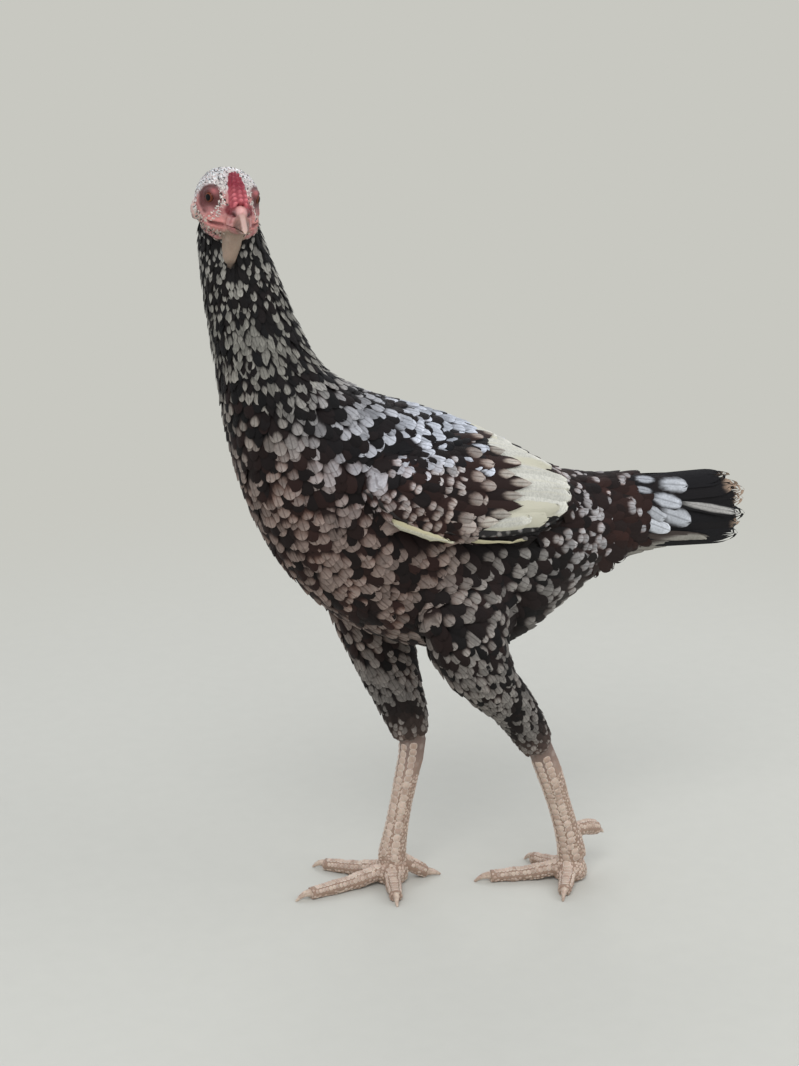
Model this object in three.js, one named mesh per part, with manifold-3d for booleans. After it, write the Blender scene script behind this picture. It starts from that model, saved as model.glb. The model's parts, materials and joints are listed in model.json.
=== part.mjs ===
// A walking game hen at life size, in millimetres. +Z is up, -X is the way the body faces and +Y is the bird's
// right. The head is turned to the bird's left. Both feet are on the ground, at z = 0: the right one is forward
// and the left one is about to push off. Outlines are those of the plumage, out to the tips of the feathers.

import * as THREE from "three";
import { mergeVertices } from "three/addons/utils/BufferGeometryUtils.js";
import Module from "manifold-3d";

const wasm = await Module();
wasm.setup();

const GAP = 0.3; // clearance between neighbouring pieces
const UP = new THREE.Vector3(0, 0, 1);
const FORE_AND_AFT = new THREE.Vector3(1, 0, 0);
const SIDEWAYS = new THREE.Vector3(0, 1, 0);

// ---- Driving dimensions -------------------------------------------------------------------------------------

// Neck, trunk, rump and tail: one run of stations from throat to tail tip, in the bird's upright middle plane.
// under x, under z, upper x, upper z, half width, lean (above 0: wider towards the upper side)
const BODY_STATIONS = [
  [-206, 509, -170, 507, 19, 0],
  [-207, 489, -165.5, 487, 22, 0],
  [-205, 460, -153.5, 458, 25, 0],
  [-201, 432, -141, 428, 29, 0],
  [-196, 400, -124, 400, 36, 0.02],
  [-190, 360, -90, 380, 45, 0.05],
  [-177, 309, -62, 371, 50.5, 0.08],
  [-149, 257, -34, 361, 52.5, 0.1],
  [-106, 217, -4, 348, 53, 0.1],
  [-50, 193, 28, 330, 51, 0.08],
  [8, 188, 55, 314, 46, 0.04],
  [52, 211, 80, 307, 36, 0],
  [84, 231, 102, 305, 27, -0.1],
  [120, 243, 130, 303, 21, -0.2],
  [163, 246, 164, 300, 16, -0.3],
  [189, 245, 187, 297, 13, -0.3],
  [207, 245, 201, 290, 10, -0.3],
  [214, 252, 211, 279, 6, -0.3],
];
// Where that run is parted, counted in stations, and the rings each piece is drawn with.
const BODY_CUTS = {
  neck: { from: 0, to: 4.4, rings: 10 },
  breast: { from: 4.4, to: 7.5, rings: 8 },
  belly: { from: 7.5, to: 10.8, rings: 8 },
  rump: { from: 10.8, to: 13, rings: 5 },
  tail: { from: 13, to: 17, rings: 8 },
};

// Head, in its own frame: +X out along the beak, +Z up through the crown, origin between the eyes.
const HEAD_AT = [-190.2, -12.2, 514];
const HEAD_TURN = { yaw: -93, nod: 9, tilt: -5 }; // degrees
// x, top z, bottom z, half width
const SKULL_STATIONS = [
  [-27, 3, -8, 4],
  [-25, 10, -14, 11.5],
  [-19, 17.5, -19, 18],
  [-10, 19.8, -21.5, 20.8],
  [0, 18, -21.8, 20],
  [7, 13.4, -20.8, 17.6],
  [13, 8.2, -18.8, 13.8],
  [20, 2.6, -16.4, 9.2],
];
const SKULL_LEAN = -0.08; // below 0: wider at the cheeks than at the crown
// x, ridge z, edge z, half width
const UPPER_BEAK_STATIONS = [
  [20, 3.6, -9.7, 8.6],
  [24, 1.6, -9.4, 7.8],
  [28, -2, -9.3, 6.4],
  [32, -4.9, -9.5, 4.9],
  [35.5, -8, -10.3, 3.2],
  [38.2, -11.4, -12.5, 1.6],
  [39.3, -14, -14.5, 0.5],
];
const LOWER_BEAK_STATIONS = [
  [20, -15.6, -10, 7.4],
  [25, -14.3, -9.8, 5.9],
  [30, -13, -9.9, 4.2],
  [33.5, -12.1, -10.4, 2.4],
  [35.3, -11.7, -11, 0.9],
];
// The lips are parted back to the corner, by a slot that stops at a core in the head's middle.
const MOUTH = { cornerX: 10.5, z: -10, opening: 0.9, coreWidth: 11, coreHeight: 12 };
// Eyes face this many degrees from straight ahead, and each sits back in a round socket.
const EYE = { x: 2.8, y: 12.3, z: 3.7, radius: 5.8, facing: 60 };
const EYE_SOCKET = { radius: 5.6, forward: 4.4 };
const EAR_LOBE = { at: [-10, 20.6, -9], radii: [4.5, 2.4, 6.5] };
// x, y, z, height radius, half width
const COMB_STATIONS = [
  [20.3, 0, 2.6, 3.6, 5],
  [17.4, 0, 5.2, 4, 5.6],
  [12.4, 0, 9.6, 4, 4.9],
  [7.5, 0, 13.9, 3.9, 4],
  [3, 0, 17, 3, 2.9],
  [-0.5, 0, 18.3, 1.6, 1.4],
];
const COMB_KNOBS = { count: 5, swell: 0.1 };
// x, y, z, depth radius, half width
const DEWLAP_STATIONS = [
  [16, 0, -14.5, 5, 5.6],
  [13.5, -0.2, -21, 6, 5.6],
  [12.3, -0.6, -28, 5.8, 4.8],
  [11.3, -1.1, -36, 4.8, 3.8],
  [10.6, -1.6, -44, 2.8, 2],
];

// Folded wing, left or right by its side: x, top y, top z, bottom y, bottom z, swell, half thickness
const WING_STATIONS = [
  [-120, 38, 341, 50, 326, 3, 3],
  [-110, 31, 351, 58, 310, 11, 5.4],
  [-90, 26, 355, 63, 296, 15, 7],
  [-60, 23, 355, 66, 286, 16, 7.6],
  [-28, 22, 352, 65, 280, 15, 7.5],
  [2, 17, 341, 60, 279, 14, 7],
  [28, 14, 327, 53, 283, 11, 6],
  [46, 14, 315, 43, 290, 7, 4.4],
  [55, 18, 306, 34, 296, 2.5, 2],
];
const WING_PARTING = 4.8; // station where the coverts end and the flight feathers show

// Legs: x, y, z, fore radius, side radius. Thigh down to the hock, then shank down to the toes.
const LEGS = {
  left: {
    side: -1,
    thigh: [
      [-37, -28, 264, 38, 15],
      [-36, -36, 240, 38, 22],
      [-32, -43, 203, 30, 23],
      [-19, -43, 178, 21.5, 19],
      [3, -38, 154, 16, 15],
      [19.5, -33, 133, 14.5, 12.5],
      [29.5, -30, 115, 11.8, 10.5],
    ],
    shank: [
      [27.5, -31, 121, 10.6, 9.6],
      [34.5, -30, 108, 10.4, 9],
      [43.5, -28, 87, 9.2, 7.4],
      [51.5, -25, 66, 8.2, 6.6],
      [60.5, -22, 41, 8.8, 7.2],
      [65.5, -20, 25, 10.4, 8.6],
      [67, -19, 17, 10.6, 9.4],
    ],
    pad: [65.5, -18.5],
    toes: {
      middle: { tip: [-3.5, 2], claw: 12 },
      inner: { tip: [50, 24], claw: 9 },
      outer: { tip: [40.5, -55], claw: 10 },
    },
    hallux: [
      [66, -18, 36, 5, 4.8],
      [79, -14, 36, 5.6, 5.4],
      [90, -9, 32, 5.6, 5.4],
      [94.5, -7, 29.5, 4.4, 4.2],
    ],
    halluxTip: [102.5, -3, 24],
  },
  right: {
    side: 1,
    thigh: [
      [-84, 28, 264, 34, 15],
      [-78, 36, 240, 35, 22],
      [-67, 42, 202, 29, 23],
      [-58, 42, 170, 23.5, 19],
      [-50.5, 38, 146, 19, 15],
      [-45, 35, 128, 16.5, 12.5],
      [-41, 33.5, 112, 12.6, 10.5],
    ],
    shank: [
      [-42, 34, 118, 11.4, 9.8],
      [-40.5, 33, 104, 11.4, 9.2],
      [-44.6, 32.5, 86, 9.2, 7.2],
      [-50, 32, 62, 8.1, 6.4],
      [-54.6, 31.5, 40, 8.5, 7],
      [-57.5, 31, 25, 10, 8.6],
      [-58.5, 31, 17, 10.4, 9.4],
    ],
    pad: [-59.5, 31],
    toes: {
      middle: { tip: [-138, 24], claw: 12 },
      inner: { tip: [-74, -14], claw: 9 },
      outer: { tip: [-104, 76], claw: 10 },
    },
    hallux: [
      [-56, 31, 19, 5, 4.8],
      [-46, 29, 12, 5.2, 5],
      [-36, 27, 5.4, 5, 4.8],
      [-32, 26, 4, 4, 3.8],
    ],
    halluxTip: [-22, 24, 0.9],
  },
};
// The pad's outline is given in shares of its radius and height.
const FOOT_PAD = {
  radius: 13,
  height: 17,
  outline: [
    [0.72, 0],
    [0.95, 0.12],
    [1, 0.4],
    [0.86, 0.75],
    [0.6, 1],
  ],
};
// A toe starts this far from the pad's middle, rides up onto the pad at its root and swells at its joints.
const TOE = {
  start: 8,
  baseRadius: 6.1,
  endRadius: 4.3,
  rootRise: 4,
  rootShare: 0.45,
  swell: 0.09,
  joints: { middle: 3, inner: 2, outer: 4 },
};
const CLAW = { baseRadius: 3, tipRadius: 0.4, arch: 2, halluxArch: 0.6, rootHeight: 4.4, tipHeight: 0.5, inset: 1 };

// How finely each shape is drawn: rings along it and sides round it.
const BODY_SIDES = 22;
const SKULL_DETAIL = { rings: 10, sides: 18 };
const BEAK_DETAIL = { rings: 8, sides: 8 };
const COMB_DETAIL = { rings: 12, sides: 8 };
const DEWLAP_DETAIL = { rings: 7, sides: 10 };
const BALL_DETAIL = { eye: 12, lobe: 10 };
const COVERT_RINGS = 9;
const FLIGHT_RINGS = 7;
const WING_HALF_SIDES = 7;
const THIGH_DETAIL = { rings: 9, sides: 12 };
const SHANK_DETAIL = { rings: 8, sides: 10 };
const PAD_SIDES = 12;
const HALLUX_DETAIL = { rings: 5, sides: 8 };
const TOE_SIDES = 8;
const CLAW_DETAIL = { rings: 4, sides: 7 };

// How square a round section is: 2 is an ellipse.
const BODY_SQUARENESS = 2.2;
const SKULL_SQUARENESS = 2.3;
const LIMB_SQUARENESS = 2.1;

// ---- Closed shapes ------------------------------------------------------------------------------------------

// A closed skin over a row of rings, each a list of points in the same order, with a flat face at both ends.
function loft(rings) {
  const sides = rings[0].length;
  const last = rings.length - 1;
  const points = rings.flat();
  const middleOf = (ring) => ring.reduce((sum, p) => sum.add(p), new THREE.Vector3()).divideScalar(sides);
  points.push(middleOf(rings[0]), middleOf(rings[last]));
  const faces = [];
  for (let side = 0; side < sides; side++) {
    const next = (side + 1) % sides;
    faces.push(points.length - 2, next, side);
    faces.push(points.length - 1, last * sides + side, last * sides + next);
    for (let ring = 0; ring < last; ring++) {
      const here = ring * sides;
      const ahead = here + sides;
      faces.push(here + side, here + next, ahead + side);
      faces.push(here + next, ahead + next, ahead + side);
    }
  }
  return new THREE.BufferGeometry().setFromPoints(points).setIndex(faces);
}

// A geometry as a solid whose faces point out.
function solidOf(geometry) {
  const bare = geometry.clone();
  bare.deleteAttribute("normal");
  bare.deleteAttribute("uv");
  const merged = mergeVertices(bare, 1e-4);
  const corners = new Uint32Array(merged.index.array);
  const build = () =>
    new wasm.Manifold(
      new wasm.Mesh({ numProp: 3, vertProperties: merged.attributes.position.array, triVerts: corners }),
    );
  const made = build();
  if (made.volume() > 0) return made;
  for (let i = 0; i < corners.length; i += 3) [corners[i + 1], corners[i + 2]] = [corners[i + 2], corners[i + 1]];
  return build();
}

function geometryOf(solid) {
  const mesh = solid.getMesh();
  const positions = new Float32Array(mesh.numVert * 3);
  for (let i = 0; i < mesh.numVert; i++) {
    positions.set(mesh.vertProperties.subarray(i * mesh.numProp, i * mesh.numProp + 3), i * 3);
  }
  return new THREE.BufferGeometry()
    .setAttribute("position", new THREE.BufferAttribute(positions, 3))
    .setIndex(new THREE.BufferAttribute(new Uint32Array(mesh.triVerts), 1));
}

const without = (solid, ...cutters) => cutters.reduce((left, cutter) => left.subtract(cutter), solid);

// Reads a table of stations at any place along it, from 0 to the last station, as one smooth run.
function smoothRun(stations) {
  const last = stations.length - 1;
  const columns = stations[0].length;
  const curves = [];
  for (let first = 0; first < columns; first += 3) {
    const part = stations.map((row) => new THREE.Vector3(row[first], row[first + 1] ?? 0, row[first + 2] ?? 0));
    curves.push(new THREE.CatmullRomCurve3(part, false, "catmullrom", 0.5));
  }
  return (at) => curves.flatMap((curve) => curve.getPoint(at / last).toArray()).slice(0, columns);
}

const steps = (from, to, count) => Array.from({ length: count + 1 }, (_, i) => from + ((to - from) * i) / count);
const power = (value, exponent) => Math.sign(value) * Math.abs(value) ** exponent;

// A ring between an ellipse and a rectangle.
function squircle(sides, squareness, place) {
  return steps(0, 2 * Math.PI, sides)
    .slice(0, sides)
    .map((angle) => place(power(Math.cos(angle), 2 / squareness), power(Math.sin(angle), 2 / squareness)));
}

// ---- Neck, trunk, rump and tail -----------------------------------------------------------------------------

const bodyAt = smoothRun(BODY_STATIONS);

function bodyRing(at, grow = 0, slide = 0) {
  const [underX, underZ, upperX, upperZ, half, lean] = bodyAt(at);
  const middle = new THREE.Vector3((underX + upperX) / 2, 0, (underZ + upperZ) / 2);
  const rise = new THREE.Vector3(upperX - underX, 0, upperZ - underZ).divideScalar(2);
  const along = new THREE.Vector3().crossVectors(SIDEWAYS, rise).normalize();
  rise.setLength(rise.length() + grow);
  return squircle(BODY_SIDES, BODY_SQUARENESS, (up, out) =>
    middle
      .clone()
      .addScaledVector(along, slide)
      .addScaledVector(rise, up)
      .addScaledVector(SIDEWAYS, (half + grow) * out * (1 + lean * up)),
  );
}

function bodyRun({ from, to, rings }, grow = 0) {
  const lastStation = BODY_STATIONS.length - 1;
  const slide = GAP / 2 - grow;
  const made = steps(from, to, rings).map((at, i) => {
    const isFirst = i === 0 && from > 0;
    const isLast = i === rings && to < lastStation;
    return bodyRing(at, grow, isFirst ? slide : isLast ? -slide : 0);
  });
  return solidOf(loft(made));
}

const bodyParts = {};
const bodyCutters = [];
for (const [name, cut] of Object.entries(BODY_CUTS)) {
  bodyParts[name] = bodyRun(cut);
  bodyCutters.push(bodyRun(cut, GAP));
}

// ---- Limbs: tubes of oval section along a smooth path --------------------------------------------------------

// The first radius lies towards the hint, the second across it. With a floor, nothing reaches below z = 0.
function limb(stations, { rings, sides, hint = FORE_AND_AFT, grow = 0, floor = false, swell = () => 1 }) {
  const read = smoothRun(stations);
  const last = stations.length - 1;
  const made = steps(0, last, rings).map((at, i) => {
    const [x, y, z, deep, wide] = read(at);
    const before = read(Math.max(0, at - 0.05));
    const after = read(Math.min(last, at + 0.05));
    const along = new THREE.Vector3(after[0] - before[0], after[1] - before[1], after[2] - before[2]).normalize();
    const fore = hint.clone().addScaledVector(along, -hint.dot(along)).normalize();
    const across = new THREE.Vector3().crossVectors(along, fore);
    const slide = i === 0 ? -grow : i === rings ? grow : 0;
    const puff = swell(at / last);
    return squircle(sides, LIMB_SQUARENESS, (c, s) => {
      const point = new THREE.Vector3(x, y, z)
        .addScaledVector(along, slide)
        .addScaledVector(fore, (deep * puff + grow) * c)
        .addScaledVector(across, (wide * puff + grow) * s);
      if (floor) point.z = Math.max(point.z, 0);
      return point;
    });
  });
  return solidOf(loft(made));
}

// ---- Head ---------------------------------------------------------------------------------------------------

const skullAt = smoothRun(SKULL_STATIONS);

function skull(grow = 0) {
  const { rings, sides } = SKULL_DETAIL;
  const made = steps(0, SKULL_STATIONS.length - 1, rings).map((at, i) => {
    const [x, top, bottom, half] = skullAt(at);
    const slide = i === 0 ? -grow : i === rings ? grow : 0;
    return squircle(sides, SKULL_SQUARENESS, (up, out) => {
      const z = (top + bottom) / 2 + ((top - bottom) / 2 + grow) * up;
      return new THREE.Vector3(x + slide, (half + grow) * out * (1 + SKULL_LEAN * up), z);
    });
  });
  return solidOf(loft(made));
}

// One half of the beak: an arch from edge to edge over the ridge, closed by a flat along the mouth.
function beakHalf(stations) {
  const read = smoothRun(stations);
  const made = steps(0, stations.length - 1, BEAK_DETAIL.rings).map((at, i) => {
    const [x, ridge, edge, half] = read(at);
    const from = i === 0 ? GAP : 0;
    return steps(0, Math.PI, BEAK_DETAIL.sides)
      .map((angle) => new THREE.Vector3(x + from, half * Math.cos(angle), edge + (ridge - edge) * Math.sin(angle)))
      .concat(new THREE.Vector3(x + from, 0, edge));
  });
  return solidOf(loft(made));
}

function ball([x, y, z], radii, across) {
  const sphere = new THREE.SphereGeometry(1, across, Math.round(across * 0.7));
  return solidOf(sphere.scale(...radii).translate(x, y, z));
}

const roundBall = (at, radius) => ball(at, [radius, radius, radius], BALL_DETAIL.eye);
const eyeBall = (side, grow = 0) => roundBall([EYE.x, side * EYE.y, EYE.z], EYE.radius + grow);

function eyeSocket(side) {
  const facing = THREE.MathUtils.degToRad(EYE.facing);
  const x = EYE.x + EYE_SOCKET.forward * Math.cos(facing);
  const y = EYE.y + EYE_SOCKET.forward * Math.sin(facing);
  return roundBall([x, side * y, EYE.z], EYE_SOCKET.radius);
}

function earLobe(side, grow = 0) {
  const [x, y, z] = EAR_LOBE.at;
  const radii = EAR_LOBE.radii.map((radius) => radius + grow);
  return ball([x, side * y, z], radii, BALL_DETAIL.lobe);
}

function mouthSlot() {
  const pastHead = 2;
  const length = SKULL_STATIONS.at(-1)[0] - MOUTH.cornerX + pastHead;
  const acrossHead = 2 * Math.max(...SKULL_STATIONS.map((row) => row[3])) + pastHead;
  const slot = new THREE.BoxGeometry(length, acrossHead, MOUTH.opening).translate(length / 2, 0, 0);
  const core = new THREE.BoxGeometry(3 * length, MOUTH.coreWidth, MOUTH.coreHeight);
  return solidOf(slot.translate(MOUTH.cornerX, 0, MOUTH.z)).subtract(solidOf(core.translate(0, 0, MOUTH.z)));
}

function combSolid(grow = 0) {
  const swell = (t) => 1 + COMB_KNOBS.swell * Math.cos(2 * Math.PI * COMB_KNOBS.count * t);
  return limb(COMB_STATIONS, { ...COMB_DETAIL, hint: UP, grow, swell });
}

const headParts = {
  head: without(
    skull(),
    eyeBall(-1, GAP),
    eyeBall(1, GAP),
    eyeSocket(-1),
    eyeSocket(1),
    mouthSlot(),
  ),
  beak_upper: without(beakHalf(UPPER_BEAK_STATIONS), combSolid(GAP)),
  beak_lower: beakHalf(LOWER_BEAK_STATIONS),
  eye_left: eyeBall(1),
  eye_right: eyeBall(-1),
  comb: without(combSolid(), skull(GAP)),
};
headParts.ear_lobe_left = without(earLobe(1), skull(GAP));
headParts.ear_lobe_right = without(earLobe(-1), skull(GAP));

const headFrame = new THREE.Group();
headFrame.name = "head_frame";
headFrame.position.set(...HEAD_AT);
const degrees = THREE.MathUtils.degToRad;
headFrame.rotation.set(degrees(HEAD_TURN.tilt), degrees(HEAD_TURN.nod), degrees(HEAD_TURN.yaw), "ZYX");
headFrame.updateMatrix();

// A solid of the body's frame in the head's frame, or the other way round.
const moved = (solid, matrix) => solidOf(geometryOf(solid).applyMatrix4(matrix));
const intoHead = headFrame.matrix.clone().invert();

headParts.dewlap = without(
  limb(DEWLAP_STATIONS, DEWLAP_DETAIL),
  skull(GAP),
  headParts.beak_lower,
  moved(bodyRun(BODY_CUTS.neck, GAP), intoHead),
);
const headCutters = [skull(GAP), earLobe(1, GAP), earLobe(-1, GAP)];
bodyParts.neck = without(bodyParts.neck, ...headCutters.map((cutter) => moved(cutter, headFrame.matrix)));

// ---- Wings --------------------------------------------------------------------------------------------------

const wingAt = smoothRun(WING_STATIONS);

// A crescent from the wing's upper edge to its lower edge, bowed outwards.
function wingRing(at, side, slide) {
  const [x, topY, topZ, bottomY, bottomZ, swell, thick] = wingAt(at);
  const down = new THREE.Vector3(0, bottomY - topY, bottomZ - topZ);
  const outward = new THREE.Vector3(0, -down.z, down.y).normalize();
  const ring = [];
  for (let i = 0; i < 2 * WING_HALF_SIDES; i++) {
    const angle = (Math.PI * i) / WING_HALF_SIDES;
    const share = (1 - Math.cos(angle)) / 2;
    const bow = swell * (1 - (2 * share - 1) ** 2) + thick * Math.sin(angle);
    const point = new THREE.Vector3(x + slide, topY, topZ).addScaledVector(down, share).addScaledVector(outward, bow);
    point.y *= side;
    ring.push(point);
  }
  return ring;
}

function wingRun(from, to, side, rings) {
  const last = WING_STATIONS.length - 1;
  const made = steps(from, to, rings).map((at, i) => {
    const slide = i === 0 && from > 0 ? GAP / 2 : i === rings && to < last ? -GAP / 2 : 0;
    return wingRing(at, side, slide);
  });
  return solidOf(loft(made));
}

// ---- Legs and feet ------------------------------------------------------------------------------------------

const thighSolid = (leg, grow = 0) => limb(leg.thigh, { ...THIGH_DETAIL, grow });
const shankSolid = (leg, grow = 0) => limb(leg.shank, { ...SHANK_DETAIL, grow });

function footPad([x, y], grow = 0) {
  const { radius, height, outline } = FOOT_PAD;
  const profile = outline.map(([out, up]) => new THREE.Vector2(radius * out + grow, height * up));
  profile.unshift(new THREE.Vector2(0, -grow));
  profile[1].y -= grow;
  profile[outline.length].y += grow;
  profile.push(new THREE.Vector2(0, height + grow));
  const turned = new THREE.LatheGeometry(profile, PAD_SIDES).rotateX(Math.PI / 2);
  return solidOf(turned.translate(x, y, 0));
}

// A toe from the pad to where its claw begins, resting on the floor, thicker at its joints.
function toeSolid([padX, padY], { tip, claw }, joints, grow = 0) {
  const reach = new THREE.Vector3(tip[0] - padX, tip[1] - padY, 0);
  const length = reach.length();
  const way = reach.normalize();
  const stations = steps(0, 1, 5).map((t) => {
    const distance = THREE.MathUtils.lerp(TOE.start, length - claw, t);
    const radius = THREE.MathUtils.lerp(TOE.baseRadius, TOE.endRadius, t);
    const height = radius * 0.9 + TOE.rootRise * Math.max(0, 1 - distance / (length * TOE.rootShare));
    return [padX + way.x * distance, padY + way.y * distance, height, radius, radius * 1.04];
  });
  const swell = (t) => 1 + TOE.swell * Math.cos(2 * Math.PI * joints * t);
  return limb(stations, { rings: 2 * joints + 3, sides: TOE_SIDES, hint: UP, grow, floor: grow === 0, swell });
}

// A claw from the toe's end to its tip, arched a little, and flat below where it meets the floor.
function clawSolid(from, to, arch) {
  const start = new THREE.Vector3(...from);
  const end = new THREE.Vector3(...to);
  const stations = steps(0, 1, 4).map((t) => {
    const at = start.clone().lerp(end, t);
    const radius = THREE.MathUtils.lerp(CLAW.baseRadius, CLAW.tipRadius, t);
    return [at.x, at.y, at.z + arch * Math.sin(Math.PI * t), radius, radius * 0.85];
  });
  return limb(stations, { ...CLAW_DETAIL, hint: UP, floor: true });
}

const legParts = {};
const wingParts = {};
for (const [name, leg] of Object.entries(LEGS)) {
  const { pad, side } = leg;
  legParts[`thigh_${name}`] = without(thighSolid(leg), ...bodyCutters);
  legParts[`foot_${name}`] = without(footPad(pad), shankSolid(leg, GAP));
  const hallux = limb(leg.hallux, { ...HALLUX_DETAIL, hint: UP, floor: true });
  const halluxGrown = limb(leg.hallux, { ...HALLUX_DETAIL, hint: UP, grow: GAP });
  legParts[`hallux_${name}`] = without(hallux, shankSolid(leg, GAP), footPad(pad, GAP));
  legParts[`shank_${name}`] = without(shankSolid(leg), thighSolid(leg, GAP));
  const halluxEnd = leg.hallux.at(-1).slice(0, 3);
  const halluxClaw = clawSolid(halluxEnd, leg.halluxTip, CLAW.halluxArch);
  legParts[`claw_hallux_${name}`] = without(halluxClaw, halluxGrown);

  const neighbours = [footPad(pad, GAP), shankSolid(leg, GAP), halluxGrown];
  for (const [toe, joints] of Object.entries(TOE.joints)) {
    const plan = leg.toes[toe];
    const grown = toeSolid(pad, plan, joints, GAP);
    legParts[`toe_${toe}_${name}`] = without(toeSolid(pad, plan, joints), ...neighbours);
    neighbours.push(grown);
    const reach = new THREE.Vector2(plan.tip[0] - pad[0], plan.tip[1] - pad[1]);
    const back = reach.clone().setLength(plan.claw + CLAW.inset);
    const from = [plan.tip[0] - back.x, plan.tip[1] - back.y, CLAW.rootHeight];
    const to = [...plan.tip, CLAW.tipHeight];
    legParts[`claw_${toe}_${name}`] = without(clawSolid(from, to, CLAW.arch), grown);
  }

  const last = WING_STATIONS.length - 1;
  const neighboursOfWing = [...bodyCutters, thighSolid(leg, GAP)];
  const coverts = wingRun(0, WING_PARTING, side, COVERT_RINGS);
  const flights = wingRun(WING_PARTING, last, side, FLIGHT_RINGS);
  wingParts[`wing_coverts_${name}`] = without(coverts, ...neighboursOfWing);
  wingParts[`wing_flights_${name}`] = without(flights, ...neighboursOfWing);
}

// ---- Assembly -----------------------------------------------------------------------------------------------

const finish = (color, roughness) => ({ color, roughness, metalness: 0 });
const PLUMAGE = finish(0x57504b, 0.85);
const FLIGHT = finish(0xb9b5a4, 0.75);
const BARE_SKIN = finish(0xc99b88, 0.6);
const FINISHES = [
  [/^(neck|breast|belly|rump|tail|thigh|wing_coverts)/, PLUMAGE],
  [/^wing_flights/, FLIGHT],
  [/^head/, finish(0xb9988c, 0.75)],
  [/^comb/, finish(0xb8414e, 0.5)],
  [/^ear_lobe/, finish(0xa8494b, 0.55)],
  [/^dewlap/, finish(0xc7ab9a, 0.65)],
  [/^beak/, finish(0xc9ad97, 0.4)],
  [/^eye/, finish(0x3a1c12, 0.1)],
  [/^claw/, finish(0xcfbfa6, 0.45)],
  [/^(shank|foot|toe|hallux)/, BARE_SKIN],
];

function pieceOf(name, solid) {
  const [, look] = FINISHES.find(([pattern]) => pattern.test(name));
  const mesh = new THREE.Mesh(geometryOf(solid), new THREE.MeshStandardMaterial(look));
  mesh.name = name;
  return mesh;
}

const bird = new THREE.Group();
for (const [name, solid] of Object.entries({ ...bodyParts, ...wingParts, ...legParts })) {
  bird.add(pieceOf(name, solid));
}
for (const [name, solid] of Object.entries(headParts)) headFrame.add(pieceOf(name, solid));
bird.add(headFrame);

// The origin is on the floor, under the middle of the bird's box.
const bounds = new THREE.Box3().setFromObject(bird, true);
const middle = bounds.getCenter(new THREE.Vector3());
bird.position.set(-middle.x, -middle.y, -bounds.min.z);

const hen = new THREE.Group();
hen.name = "hen";
hen.add(bird);
export default hen;
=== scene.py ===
"""A walking game hen at life size: skin, feathers, scales, beak, eyes and claws, round a fixed frame."""
import json
import math

import bmesh
import bpy
import numpy as np
from bpy.props import FloatProperty, FloatVectorProperty, IntProperty, PointerProperty
from mathutils import Euler, Matrix, Vector
from mathutils import noise as perlin
from mathutils.bvhtree import BVHTree
from mathutils.kdtree import KDTree

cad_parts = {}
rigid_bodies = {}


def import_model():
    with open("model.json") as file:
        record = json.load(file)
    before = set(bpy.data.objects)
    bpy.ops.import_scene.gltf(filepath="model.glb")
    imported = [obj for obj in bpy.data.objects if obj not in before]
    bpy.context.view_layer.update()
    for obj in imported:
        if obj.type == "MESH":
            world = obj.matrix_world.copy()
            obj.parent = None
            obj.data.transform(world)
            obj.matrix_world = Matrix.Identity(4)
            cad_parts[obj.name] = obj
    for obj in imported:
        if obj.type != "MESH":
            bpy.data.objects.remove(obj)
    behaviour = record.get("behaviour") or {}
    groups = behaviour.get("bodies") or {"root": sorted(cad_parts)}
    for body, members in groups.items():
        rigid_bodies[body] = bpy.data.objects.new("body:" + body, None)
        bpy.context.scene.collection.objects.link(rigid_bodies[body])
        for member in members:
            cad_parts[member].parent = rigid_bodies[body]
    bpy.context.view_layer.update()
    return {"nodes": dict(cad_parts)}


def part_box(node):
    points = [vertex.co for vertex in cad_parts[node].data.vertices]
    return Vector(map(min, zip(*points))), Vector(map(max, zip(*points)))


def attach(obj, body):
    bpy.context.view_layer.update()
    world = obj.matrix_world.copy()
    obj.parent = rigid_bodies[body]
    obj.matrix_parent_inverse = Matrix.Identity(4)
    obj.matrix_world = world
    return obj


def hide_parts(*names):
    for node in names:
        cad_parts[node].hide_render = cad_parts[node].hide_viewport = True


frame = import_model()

bl_info = {
    "name": "Game Hen",
    "version": (1, 0, 0),
    "blender": (4, 5, 0),
    "location": "View3D > Sidebar > Hen",
    "description": "Builds a walking game hen with its skin, feathers and scales",
    "category": "Add Mesh",
}

MM = 0.001
SIDES = {"left": -1, "right": 1}
TRUNK_NODES = ["neck", "breast", "belly", "rump", "tail", "thigh_left", "thigh_right"]
WING_NODES = {side: [f"wing_coverts_{side}", f"wing_flights_{side}"] for side in SIDES}
HEAD_NODES = ["head", "comb", "dewlap", "ear_lobe_left", "ear_lobe_right"]
TOES = ("middle", "inner", "outer")
LEG_NODES = [
    f"{part}_{side}"
    for side in SIDES
    for part in ["shank", "foot", "hallux"] + [f"toe_{toe}" for toe in TOES]
]
CLAW_NODES = [f"claw_{toe}_{side}" for side in SIDES for toe in TOES + ("hallux",)]
BODY_NODES = TRUNK_NODES + WING_NODES["left"] + WING_NODES["right"]
FLESH_NODES = BODY_NODES + HEAD_NODES + LEG_NODES


def middle_of(node):
    """The middle of a node's box."""
    low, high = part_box(node)
    return (Vector(low) + Vector(high)) / 2


BODY_Y = middle_of("belly").y

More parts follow.
